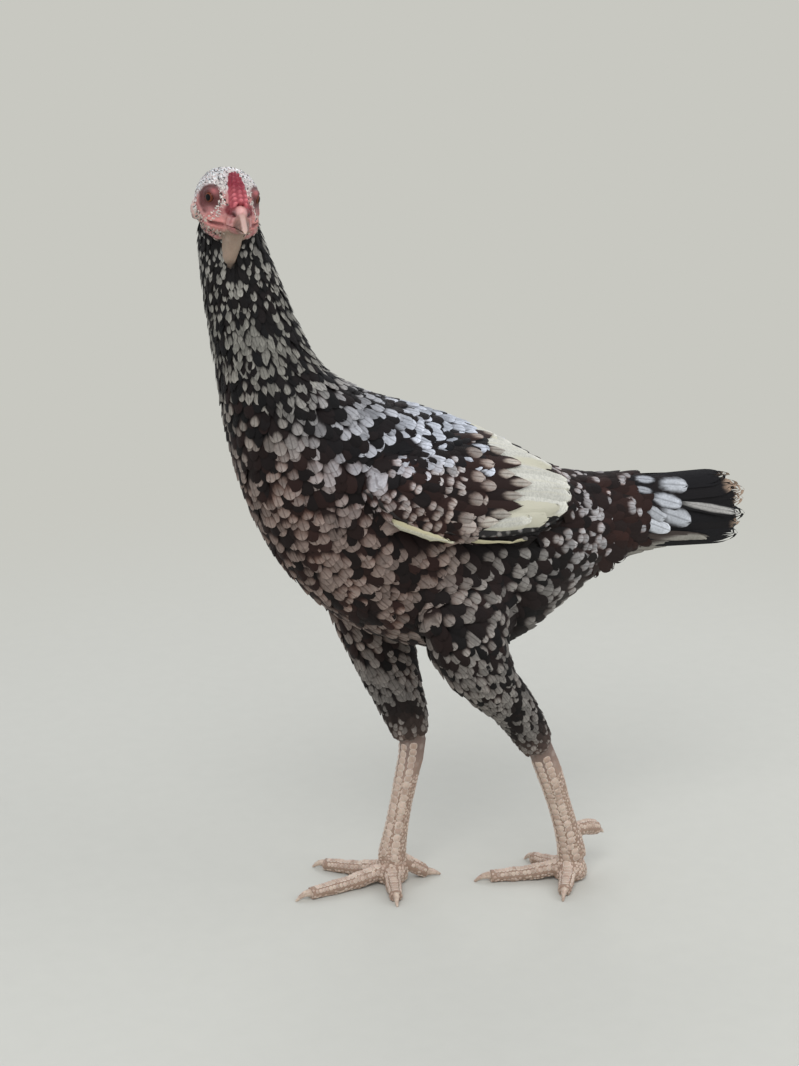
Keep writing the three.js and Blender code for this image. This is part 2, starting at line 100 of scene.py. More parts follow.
# The head's own frame: +X along the beak, +Y to the bird's left, +Z up, from between the eyes.
HEAD_YAW, HEAD_NOD, HEAD_TILT = -93.0, 9.0, -5.0
EYE_PLACE = Vector((2.8, 12.3, 3.7)) * MM
EYE_RADIUS = 5.8 * MM
EYE_FACING = math.radians(60)
HEAD_TURN = Euler(
    (math.radians(HEAD_TILT), math.radians(HEAD_NOD), math.radians(HEAD_YAW)), "XYZ"
).to_matrix()
BETWEEN_EYES = (middle_of("eye_left") + middle_of("eye_right")) / 2
HEAD_AT = BETWEEN_EYES - HEAD_TURN @ Vector((EYE_PLACE.x, 0, EYE_PLACE.z))
HEAD_FRAME = Matrix.Translation(HEAD_AT) @ HEAD_TURN.to_4x4()
HEAD_AXES = np.array(HEAD_TURN)


def to_head(points):
    """Points of the body's frame in the head's frame."""
    return (points - np.array(HEAD_AT)) @ HEAD_AXES


def from_head(points):
    """Points of the head's frame in the body's frame."""
    return points @ HEAD_AXES.T + np.array(HEAD_AT)


# Display colours from 0 to 255
TONES = {
    "face": (184, 130, 126),
    "flush": (142, 68, 70),
    "crown": (206, 200, 198),
    "crown_fleck": (52, 44, 44),
    "eye_patch": (80, 28, 28),
    "brow": (196, 110, 112),
    "cheek": (200, 140, 138),
    "nostril_mound": (112, 36, 42),
    "nostril": (44, 14, 16),
    # the cere's pink, whose paler middle is a painted highlight
    "cere": (226, 172, 168),
    "lip": (208, 136, 130),
    "gape": (98, 28, 30),
    # the comb's red as painted shade in its furrows; the next one, lighter, lies on its beads
    "comb": (152, 62, 72),
    "comb_bead": (206, 112, 120),
    "comb_top": (128, 28, 48),
    "lobe": (206, 170, 162),
    "throat": (150, 130, 114),
    "leg": (156, 131, 114),
    "pupil": (6, 4, 5),
    "iris_dark": (58, 24, 18),
    "iris_light": (116, 58, 38),
    "iris_ring": (136, 80, 58),
    "iris_edge": (44, 20, 16),
    "eye_rim": (70, 34, 32),
    "beak_dark": (98, 68, 60),
    "beak_light": (136, 100, 88),
    "beak_ridge": (192, 160, 150),
    "beak_tip": (196, 168, 154),
    "beak_root": (168, 112, 104),
    "claw_dark": (164, 138, 122),
    "claw_light": (216, 198, 180),
    "scute_dark": (178, 154, 138),
    "scute_light": (208, 188, 172),
    "scute_rim": (232, 222, 210),
    "scute_stain": (134, 104, 88),
    "brown_web": (50, 31, 27),
    # browns quills and the pale spots' edges; at the edges it is partly painted shade
    "brown_wash": (190, 152, 136),
    "floor": (200, 200, 193),
    "sky": (240, 242, 246),
}


def tone(colour):
    """A colour as linear light, given by its name or by display values from 0 to 255."""
    shares = np.array(TONES.get(colour, colour)) / 255
    return tuple(np.where(shares <= 0.04045, shares / 12.92, ((shares + 0.055) / 1.055) ** 2.4))


# ---- Meshes as arrays ----


def unit(vectors):
    """Vectors at length 1."""
    return vectors / np.maximum(np.linalg.norm(vectors, axis=-1, keepdims=True), 1e-12)


def flat_on(ways, up):
    """Directions laid flat on surfaces with these normals."""
    return unit(ways - (ways * up).sum(axis=-1, keepdims=True) * up)


def ramp(values, low, high):
    """0 below low, 1 above high and a smooth rise between."""
    share = np.clip((values - low) / (high - low), 0, 1)
    return share * share * (3 - 2 * share)


def array_of(items, key, width=3, kind=np.float64):
    """A property of vertices, edges or the like, as an array with a row for each."""
    flat = np.empty(len(items) * width, dtype=kind)
    items.foreach_get(key, flat)
    return flat.reshape(-1, width)


def points_of(mesh):
    """A mesh's vertices as an array."""
    return array_of(mesh.vertices, "co")


def normals_of(mesh):
    """A mesh's vertex normals as an array."""
    return array_of(mesh.vertex_normals, "vector")


def edges_of(mesh):
    """A mesh's edges as an array of vertex pairs."""
    return array_of(mesh.edges, "vertices", 2, np.int32)


def move_points(mesh, points):
    """Puts an array back as a mesh's vertices."""
    mesh.vertices.foreach_set("co", np.ascontiguousarray(points, dtype=np.float32).ravel())
    mesh.update()


def neighbour_mean(values, edges):
    """For each vertex, the mean of a value over its neighbours."""
    count = len(values)
    total = np.zeros_like(values)
    ends = np.concatenate([edges[:, 0], edges[:, 1]])
    others = np.concatenate([edges[:, 1], edges[:, 0]])
    for column in range(values.shape[1]):
        total[:, column] = np.bincount(ends, values[others, column], count)
    return total / np.maximum(np.bincount(ends, minlength=count), 1)[:, None]


PULL, PUSH = 0.55, -0.57  # shares of the way to its neighbours' mean that a vertex goes, and then back


def relax(mesh, rounds, weight=None):
    """Takes facets out of a mesh without shrinking it, as far as each vertex's weight says."""
    points = points_of(mesh)
    edges = edges_of(mesh)
    share = 1.0 if weight is None else weight[:, None]
    for pull in (PULL, PUSH) * rounds:
        points += share * pull * (neighbour_mean(points, edges) - points)
    move_points(mesh, points)


# What a named attribute holds; the ones not named here are single numbers.
KINDS = {
    **dict.fromkeys(("up", "lie", "spot", "vane", "luck", "gaze", "place", "SkinUV"), "FLOAT_VECTOR"),
    **dict.fromkeys(("ground", "tip", "hue"), "FLOAT_COLOR"),
}


def store(mesh, **fields):
    """Keeps arrays, or one number for all vertices, on a mesh under their names."""
    for name, values in fields.items():
        kind = KINDS.get(name, "FLOAT")
        values = np.asarray(values, dtype=np.float32)
        if values.ndim == 0:
            values = np.full(len(mesh.vertices), values)
        if kind == "FLOAT_COLOR":
            values = np.column_stack([values, np.ones(len(values), np.float32)])
        field = {"FLOAT": "value", "FLOAT_VECTOR": "vector", "FLOAT_COLOR": "color"}[kind]
        layer = mesh.attributes.new(name, kind, "POINT")
        layer.data.foreach_set(field, np.ascontiguousarray(values).ravel())


def link(name, mesh):
    """A new object for a mesh, in the scene."""
    piece = bpy.data.objects.new(name, mesh)
    bpy.context.scene.collection.objects.link(piece)
    return piece


def plain_mesh(piece, name):
    """An object's shape with its modifiers, as a mesh of its own."""
    graph = bpy.context.evaluated_depsgraph_get()
    mesh = bpy.data.meshes.new_from_object(piece.evaluated_get(graph), depsgraph=graph)
    mesh.name = name
    return mesh


def drop(piece):
    """Deletes a helper object."""
    bpy.data.objects.remove(piece, do_unlink=True)


def shade_smooth(mesh):
    """Smooth shading on every face."""
    mesh.polygons.foreach_set("use_smooth", np.ones(len(mesh.polygons), dtype=bool))


def remodel(piece, kind, **settings):
    """Runs one modifier on a piece and keeps its result as the piece's own mesh."""
    modifier = piece.modifiers.new(kind, kind)
    for key, value in settings.items():
        setattr(modifier, key, value)
    mesh = plain_mesh(piece, piece.name)
    piece.modifiers.clear()
    piece.data = mesh


def roots_mesh(places, **fields):
    """Loose points with fields on them, for a tree to lay vanes on."""
    mesh = bpy.data.meshes.new("roots")
    mesh.from_pydata([tuple(place) for place in places], [], [])
    store(mesh, **fields)
    return mesh


def shell(name, nodes, voxel, swell=0.35 * MM, balls=()):
    """One closed skin round several nodes and any balls, the nodes swollen a little to close their gaps."""
    joined = bmesh.new()
    for centre, radius in balls:
        place = Matrix.Translation(centre)
        bmesh.ops.create_icosphere(joined, subdivisions=4, radius=radius, matrix=place)
    for node in nodes:
        part = bmesh.new()
        part.from_mesh(frame["nodes"][node].data)
        bmesh.ops.remove_doubles(part, verts=part.verts, dist=1e-6)
        part.normal_update()
        for vertex in part.verts:
            vertex.co += vertex.normal * swell
        copy = bpy.data.meshes.new("part")
        part.to_mesh(copy)
        part.free()
        joined.from_mesh(copy)
        bpy.data.meshes.remove(copy)
    rough = bpy.data.meshes.new(name)
    joined.to_mesh(rough)
    joined.free()
    piece = link(name, rough)
    remodel(piece, "REMESH", mode="VOXEL", voxel_size=voxel)
    return piece


def bvh_of(mesh):
    """A search tree over a mesh's faces."""
    points = [tuple(point) for point in points_of(mesh)]
    faces = [tuple(face.vertices) for face in mesh.polygons]
    return BVHTree.FromPolygons(points, faces)


# ---- Node trees ----


class Wire:
    """A value in a node tree, which sums and products can be written with."""

    def __init__(self, tree, socket):
        self.tree = tree
        self.socket = socket

    def __add__(self, other):
        return self.tree.math("ADD", self, other)

    def __sub__(self, other):
        return self.tree.math("SUBTRACT", self, other)

    def __rsub__(self, other):
        return self.tree.math("SUBTRACT", other, self)

    def __mul__(self, other):
        return self.tree.math("MULTIPLY", self, other)

    def __truediv__(self, other):
        return self.tree.math("DIVIDE", self, other)

    __radd__ = __add__
    __rmul__ = __mul__


class Tree:
    """Adds nodes to a tree: an input given a wire is linked, and any other value is set on it.

    A colour may be given by its name.
    """

    def __init__(self, tree):
        self.tree = tree

    def feed(self, socket, value):
        """Sets an input, or links it where the value is a wire."""
        if isinstance(value, Wire):
            self.tree.links.new(value.socket, socket)
        elif socket.type == "RGBA":
            colour = tone(value) if isinstance(value, str) else value
            socket.default_value = (*colour, 1.0)
        else:
            socket.default_value = value

    def put(self, kind, inputs=None, **settings):
        """A new node with its settings and inputs."""
        node = self.tree.nodes.new(kind)
        for name, value in settings.items():
            setattr(node, name, value)
        for key, value in (inputs or {}).items():
            self.feed(node.inputs[key], value)
        return node

    def get(self, kind, inputs=None, output=0, **settings):
        """The wire that comes from a new node."""
        return Wire(self, self.put(kind, inputs, **settings).outputs[output])

    def math(self, operation, *values, clamp=False):
        """One sum on numbers."""
        return self.get("ShaderNodeMath", dict(enumerate(values)), operation=operation, use_clamp=clamp)

    def vector(self, operation, *values, output="Vector"):
        """One sum on vectors."""
        return self.get("ShaderNodeVectorMath", dict(enumerate(values)), output, operation=operation)

    def scale(self, value, by):
        """A vector times a number."""
        return self.get("ShaderNodeVectorMath", {0: value, "Scale": by}, operation="SCALE")

    def split(self, value):
        """The three parts of a vector."""
        return [Wire(self, socket) for socket in self.put("ShaderNodeSeparateXYZ", {0: value}).outputs]

    def join(self, *values):
        """A vector from its three parts."""
        return self.get("ShaderNodeCombineXYZ", dict(enumerate(values)))

    def step(self, value, low, high):
        """0 below low, 1 above high, smooth between."""
        inputs = {"Value": value, "From Min": low, "From Max": high}
        return self.get("ShaderNodeMapRange", inputs, interpolation_type="SMOOTHSTEP")


# ---- Laying vanes over a form ----

PATCH = 0.003  # how wide a vane's place is on the skin's unwrap
TURN_DRAW, SIZE_DRAW, CREST_DRAW, SHAPE_DRAW = 11, 23, 37, 51  # what each draw adds to a tree's seed
LAY_FLOATS = ("length", "width", "depth", "crest", "camber", "conform")
LAY_SOCKETS = [
    ("Geometry", "Geometry", None),
    ("Shapes", "Collection", None),
    ("Shape Count", "Int", 1),
    ("Form", "Object", None),
    ("Skin", "Object", None),
    ("Finish", "Material", None),
    ("Turn", "Float", 0.15),
    ("Size Spread", "Float", 0.14),
    ("Height Spread", "Float", 0.0007),
    ("Rise Power", "Float", 1.7),
    ("Patch", "Float", PATCH),
    ("Seed", "Int", 1),
]
SOW_SOCKETS = [("Mask", "String", "mask"), ("Spacing", "Float", 0.006), ("Crowding", "Float", 5.0)]


def read_field(tree, name):
    """A named attribute as a field."""
    kind = KINDS.get(name, "FLOAT")
    return tree.get("GeometryNodeInputNamedAttribute", {"Name": name}, "Attribute", data_type=kind)


def store_field(tree, geometry, name, value, kind=None, domain="POINT"):
    """Geometry with a field stored on it under a name."""
    inputs = {"Geometry": geometry, "Name": name, "Value": value}
    kind = kind or KINDS.get(name, "FLOAT")
    return tree.get("GeometryNodeStoreNamedAttribute", inputs, data_type=kind, domain=domain)


def nearest_value(tree, surface, name, place=None):
    """The value of a surface's named attribute where it is nearest to a place, or to each point itself."""
    inputs = {"Mesh": surface, "Value": read_field(tree, name)}
    if place:
        inputs["Sample Position"] = place
    return tree.get("GeometryNodeSampleNearestSurface", inputs, data_type="FLOAT_VECTOR")


def random_field(tree, seed, low, high, kind="FLOAT"):
    """A random value for each vane."""
    first = {"FLOAT_VECTOR": 0, "FLOAT": 2, "INT": 4}[kind]
    inputs = {first: low, first + 1: high, "Seed": seed}
    return tree.get("FunctionNodeRandomValue", inputs, first // 2, data_type=kind)


def new_tree(name, sockets):
    """A Geometry Nodes tree with named inputs: the tree, its inputs by name, and its result's socket."""
    group = bpy.data.node_groups.new(name, "GeometryNodeTree")
    group.is_modifier = True
    for label, kind, default in sockets:
        socket = group.interface.new_socket(label, in_out="INPUT", socket_type=f"NodeSocket{kind}")
        if default is not None:
            socket.default_value = default
    group.interface.new_socket("Geometry", in_out="OUTPUT", socket_type="NodeSocketGeometry")
    tree = Tree(group)
    given = {socket.name: Wire(tree, socket) for socket in tree.put("NodeGroupInput").outputs}
    return tree, given, tree.put("NodeGroupOutput").inputs[0]


def stand_vanes(tree, given):
    """One vane of the given shapes on each point, turned, sized and raised by chance within its limits."""
    seed = given["Seed"]
    turn = given["Turn"]
    spread = given["Size Spread"]
    lift = given["Height Spread"]
    skin = tree.get("GeometryNodeObjectInfo", {"Object": given["Skin"]}, "Geometry")
    points = store_field(tree, given["Geometry"], "place", nearest_value(tree, skin, "SkinUV"))
    luck = random_field(tree, seed, (0.0, 0.0, 0.0), (1.0, 1.0, 1.0), "FLOAT_VECTOR")
    points = store_field(tree, points, "luck", luck)
    up = read_field(tree, "up")
    lie = read_field(tree, "lie")
    across = tree.vector("CROSS_PRODUCT", lie, up)
    aside = random_field(tree, seed + TURN_DRAW, turn * -1.0, turn)
    turned = tree.vector("ADD", lie, tree.scale(across, aside))
    size = random_field(tree, seed + SIZE_DRAW, 1.0 - spread, 1.0 + spread)
    lifted = read_field(tree, "crest") + random_field(tree, seed + CREST_DRAW, lift * -1.0, lift)
    points = store_field(tree, points, "crest", lifted)
    axes = {"Primary Axis": up, "Secondary Axis": turned}
    picked = {"Collection": given["Shapes"], "Separate Children": True, "Reset Children": True}
    placing = {
        "Points": points,
        "Instance": tree.get("GeometryNodeCollectionInfo", picked),
        "Pick Instance": True,
        "Instance Index": random_field(tree, seed + SHAPE_DRAW, 0, given["Shape Count"] - 1, "INT"),
        "Rotation": tree.get("FunctionNodeAxesToRotation", axes, primary_axis="Z", secondary_axis="Y"),
        "Scale": tree.join(read_field(tree, "width") * size, read_field(tree, "length") * size, 1.0),
    }
    placed = tree.get("GeometryNodeInstanceOnPoints", placing)
    return tree.get("GeometryNodeRealizeInstances", {"Geometry": placed})


def vane_height(tree, vane, power):
    """How high each corner of a vane stands over the form: it rises from its depth to its crest at the tip.

    A vane's middle stands higher than its edges by its camber.
    """
    left = tree.math("SUBTRACT", 1.0, vane[1], clamp=True)
    risen = 1.0 - tree.math("POWER", left, power)
    depth = read_field(tree, "depth")
    fall = vane[0] * vane[0] * (read_field(tree, "width") * read_field(tree, "camber"))
    return (depth + read_field(tree, "crest")) * risen - depth - fall + vane[2]


def follow_form(tree, vanes, form, height):
    """Vanes with each corner at its height over the form, or over its own flat plane at no conform."""
    here = tree.get("GeometryNodeInputPosition")
    near = {0: form, "Sample Position": here}
    nearest = tree.get("GeometryNodeProximity", near, "Position", target_element="FACES")
    conform = read_field(tree, "conform")
    outward = nearest_value(tree, form, "up", here)
    ground = tree.get("ShaderNodeMix", {0: conform, 4: here, 5: nearest}, 1, data_type="VECTOR")
    own_way = {0: conform, 4: read_field(tree, "up"), 5: outward}
    facing = tree.get("ShaderNodeMix", own_way, 1, data_type="VECTOR")
    there = tree.vector("ADD", ground, tree.scale(facing, height))
    return tree.get("GeometryNodeSetPosition", {"Geometry": vanes, "Position": there})


def lay_tree():
    """Points with a lie, a size and a place on the skin become vanes that follow a form."""
    tree, given, result = new_tree("Lay vanes", LAY_SOCKETS)
    vanes = stand_vanes(tree, given)
    form = tree.get("GeometryNodeObjectInfo", {"Object": given["Form"]}, "Geometry")
    vane = tree.split(read_field(tree, "vane"))
    vanes = follow_form(tree, vanes, form, vane_height(tree, vane, given["Rise Power"]))
    on_patch = tree.scale(tree.join(vane[0] * 0.5, vane[1] - 0.5, 0.0), given["Patch"])
    baked = tree.vector("ADD", read_field(tree, "place"), on_patch)
    vanes = store_field(tree, vanes, "OFBake", baked, "FLOAT2", "CORNER")
    vanes = tree.get("GeometryNodeSetShadeSmooth", {"Geometry": vanes})
    tree.feed(result, tree.get("GeometryNodeSetMaterial", {"Geometry": vanes, "Material": given["Finish"]}))
    return tree.tree


def sow_tree(laying):
    """Scatters points over the part of a form that a mask gives, then lays vanes on them."""
    tree, given, result = new_tree("Sow vanes", LAY_SOCKETS + SOW_SOCKETS)
    mask = read_field(tree, given["Mask"])
    kept = tree.get("FunctionNodeCompare", {0: mask, 1: 0.02}, data_type="FLOAT", operation="GREATER_THAN")
    masked = {"Geometry": given["Geometry"], "Selection": kept}
    spacing = given["Spacing"]
    spread = {
        "Mesh": tree.get("GeometryNodeSeparateGeometry", masked, domain="POINT"),
        "Distance Min": spacing,
        "Density Max": given["Crowding"] / (spacing * spacing),
        "Density Factor": mask,
        "Seed": given["Seed"],
    }
    points = tree.get("GeometryNodeDistributePointsOnFaces", spread, distribute_method="POISSON")
    laid = tree.put("GeometryNodeGroup", node_tree=laying)
    for name, _, _ in LAY_SOCKETS:
        tree.feed(laid.inputs[name], points if name == "Geometry" else given[name])
    tree.feed(result, Wire(tree, laid.outputs[0]))
    return tree.tree


def grow(name, ground, tree, tools, kind, form, values):
    """Runs a tree on a mesh with one kind of vanes, and keeps its result as one plain mesh."""
    shapes = tools.shapes[kind]
    shared = {"Shapes": shapes, "Shape Count": len(shapes.objects), "Form": form, "Skin": tools.skin}
    values = {**shared, "Finish": tools.feather, **values}
    source = link("ground", ground)
    modifier = source.modifiers.new("Grow", "NODES")
    modifier.node_group = tree
    for item in tree.interface.items_tree:
        if item.in_out == "INPUT" and item.name in values:
            modifier[item.identifier] = values[item.name]
    mesh = plain_mesh(source, name)
    source.modifiers.remove(modifier)
    drop(source)
    for extra in ("place", "up", "lie", "mask", "id", *LAY_FLOATS):
        layer = mesh.attributes.get(extra)
        if layer is not None:
            mesh.attributes.remove(layer)
    return link(name, mesh)


def sow(name, mesh, mask, tools, kind, form, values):
    """Grows vanes where a mask allows them on a mesh."""
    store(mesh, mask=mask)
    piece = grow(name, mesh, tools.sow, tools, kind, form, values)
    mesh.attributes.remove(mesh.attributes["mask"])
    return piece


# ---- Vane shapes ----

TIP_CROWDING = 1.7  # above 1, a vane's rows of corners stand closer towards its tip
ROUND_WIDE_AT, POINTED_WIDE_AT = 0.4, 0.35  # share of its length at which a vane comes to its full width
RAGGED = 0.03  # how unevenly a split vane's strips may end, as a share of its length


def outline_of(start, from_share, pointed=False):
    """Half width along a vane that widens from its root and ends in a round tip or in a blunt point."""
    wide_at = POINTED_WIDE_AT if pointed else ROUND_WIDE_AT

    def outline(v):
        """Half width at a share of the length."""
        body = min(1.0, start + (1 - start) * v / wide_at)
        tip = max(0.0, (v - from_share) / (1 - from_share))
        return body * (1 - tip**1.6 if pointed else math.sqrt(max(0.0, 1 - tip**2)))

    return outline


def vane_mesh(name, outline, columns, rows, splits, gap, seed):
    """One flat vane, 1 long and 1 wide, whose web may be split along some columns from a row to the tip."""
    rng = np.random.default_rng(seed)
    ragged = rng.uniform(-RAGGED, RAGGED, columns)
    parted = dict(splits)
    points, faces, known = [], [], {}

    def corner(column, row, strip):
        """The number of a corner, shared by neighbouring strips where the web is whole."""
        is_parted = row > parted.get(column, rows + 1)
        key = (column, row, strip if is_parted else -1)
        if key not in known:
            v = 1 - (1 - row / rows) ** TIP_CROWDING
            x = (column / columns - 0.5) * outline(v)
            if is_parted:
                opening = gap * (row - parted[column])
                x += opening * (0.5 if strip == column else -0.5)
                v += ragged[strip] * (row / rows)
            known[key] = len(points)
            points.append((x, v, 0.0))
        return known[key]

    for strip in range(columns):
        for row in range(rows):
            square = ((0, 0), (1, 0), (1, 1), (0, 1))
            faces.append([corner(strip + right, row + up, strip) for right, up in square])
    return shape_mesh(name, points, faces)


def scute_mesh(name, count, squareness, dome, sink):
    """One domed horny plate whose rim dips into the skin."""
    points, faces, heights = [], [], []
    for row in range(count + 1):
        for column in range(count + 1):
            a, b = 2 * column / count - 1, 2 * row / count - 1
            reach = max(abs(a), abs(b))
            length = (abs(a) ** squareness + abs(b) ** squareness) ** (1 / squareness)
            shrink = reach / length if length else 1
            points.append((a * shrink / 2, b * shrink / 2 + 0.5, 0.0))
            heights.append(dome * (1 - reach**2.6) - sink * reach**6)
            if row < count and column < count:
                start = row * (count + 1) + column
                faces.append((start, start + 1, start + count + 2, start + count + 1))
    return shape_mesh(name, points, faces, heights)


def shape_mesh(name, points, faces, heights=None):
    """A shape's mesh, with its own coordinates kept in the attribute that trees and finishes read."""
    mesh = bpy.data.meshes.new(name)
    mesh.from_pydata(points, [], faces)
    own = np.array(points, dtype=np.float32)
    own[:, 0] *= 2
    own[:, 2] = 0.0 if heights is None else heights
    store(mesh, vane=own)
    return mesh


def shape_set(name, meshes):
    """A collection of shapes that a tree picks from."""
    group = bpy.data.collections.new(name)
    for mesh in meshes:
        group.objects.link(bpy.data.objects.new(mesh.name, mesh))
    return group


# kind: columns, rows, and for each form its outline, the splits' columns and first rows, and their gap
VANES = {
    "contour": (
        (6, 8),
        (outline_of(0.45, 0.7), [], 0),
        (outline_of(0.45, 0.74), [(4, 6)], 0.012),
        (outline_of(0.45, 0.66), [(1, 5)], 0.012),
    ),
    "hackle": (
        (4, 8),
        (outline_of(0.5, 0.5, pointed=True), [(1, 6)], 0.012),
        (outline_of(0.5, 0.6), [(3, 5)], 0.012),
        (outline_of(0.5, 0.6, pointed=True), [(2, 6)], 0.012),
    ),
    "bristle": (
        (2, 4),
        (outline_of(0.6, 0.45), [], 0),
        (outline_of(0.6, 0.5), [(1, 2)], 0.09),
    ),
    "flight": (
        (8, 16),
        (outline_of(0.6, 0.8), [(2, 12), (6, 13)], 0.01),
        (outline_of(0.6, 0.78), [(1, 11), (5, 13), (7, 12)], 0.01),
    ),
    "frayed": (
        (9, 14),
        (outline_of(0.6, 0.82), [(column, 10 + column % 3) for column in range(1, 9)], 0.012),
        (outline_of(0.6, 0.85), [(column, 9 + column % 4) for column in range(1, 9)], 0.014),
    ),
}
# kind: columns and rows, squareness, dome and sink
PLATES = {"scute": (5, 3.2, 0.55 * MM, 0.35 * MM), "scale": (4, 2.4, 0.35 * MM, 0.3 * MM)}


def make_shapes():
    """Every kind of vane and plate, each in a few forms."""
    shapes = {}
    seed = 0
    for kind, (size, *forms) in VANES.items():
        meshes = []
        for outline, splits, gap in forms:
            seed += 1
            meshes.append(vane_mesh(f"{kind}_{seed:02}", outline, *size, splits, gap, seed))
        shapes[kind] = shape_set(kind, meshes)
    for kind, values in PLATES.items():
        shapes[kind] = shape_set(kind, [scute_mesh(kind, *values)])
    return shapes


# ---- The lie, size and markings of the coat ----

# ground, tip, spot: middle along the vane, half length, half width; share of vanes with a spot; brown
MARKINGS = {
    "bare": ((188, 160, 146), (188, 160, 146), (1.0, 0.3, 0.3), 0.0, 0.0),
    "peppered": ((22, 21, 21), (168, 165, 158), (0.86, 0.28, 0.75), 0.68, 0.0),
    "streaked": ((16, 15, 16), (144, 142, 134), (0.86, 0.25, 0.68), 0.46, 0.1),
    "cape": ((17, 15, 16), (146, 138, 131), (0.92, 0.24, 0.8), 0.46, 0.3),
    "spangled": ((24, 17, 16), (143, 127, 119), (0.97, 0.26, 1.0), 0.66, 0.6),
    "frosted": ((15, 15, 18), (202, 208, 219), (0.9, 0.38, 1.0), 0.58, 0.1),
    "saddle": ((23, 17, 16), (184, 178, 176), (0.95, 0.2, 0.75), 0.62, 0.6),
    "rump": ((36, 25, 23), (180, 180, 184), (0.95, 0.16, 0.5), 0.03, 1.0),
    "spotted": ((22, 17, 17), (190, 190, 193), (0.94, 0.16, 0.65), 0.6, 0.5),
    "mottled": ((18, 16, 16), (142, 138, 133), (0.94, 0.24, 0.8), 0.48, 0.25),
    "keel": ((25, 20, 19), (134, 122, 115), (0.95, 0.3, 0.9), 0.65, 0.5),
    "downy": ((120, 114, 108), (186, 182, 174), (0.95, 0.5, 0.6), 0.7, 0.2),
    "thigh": ((18, 16, 16), (134, 130, 125), (0.9, 0.3, 0.85), 0.68, 0.15),
}

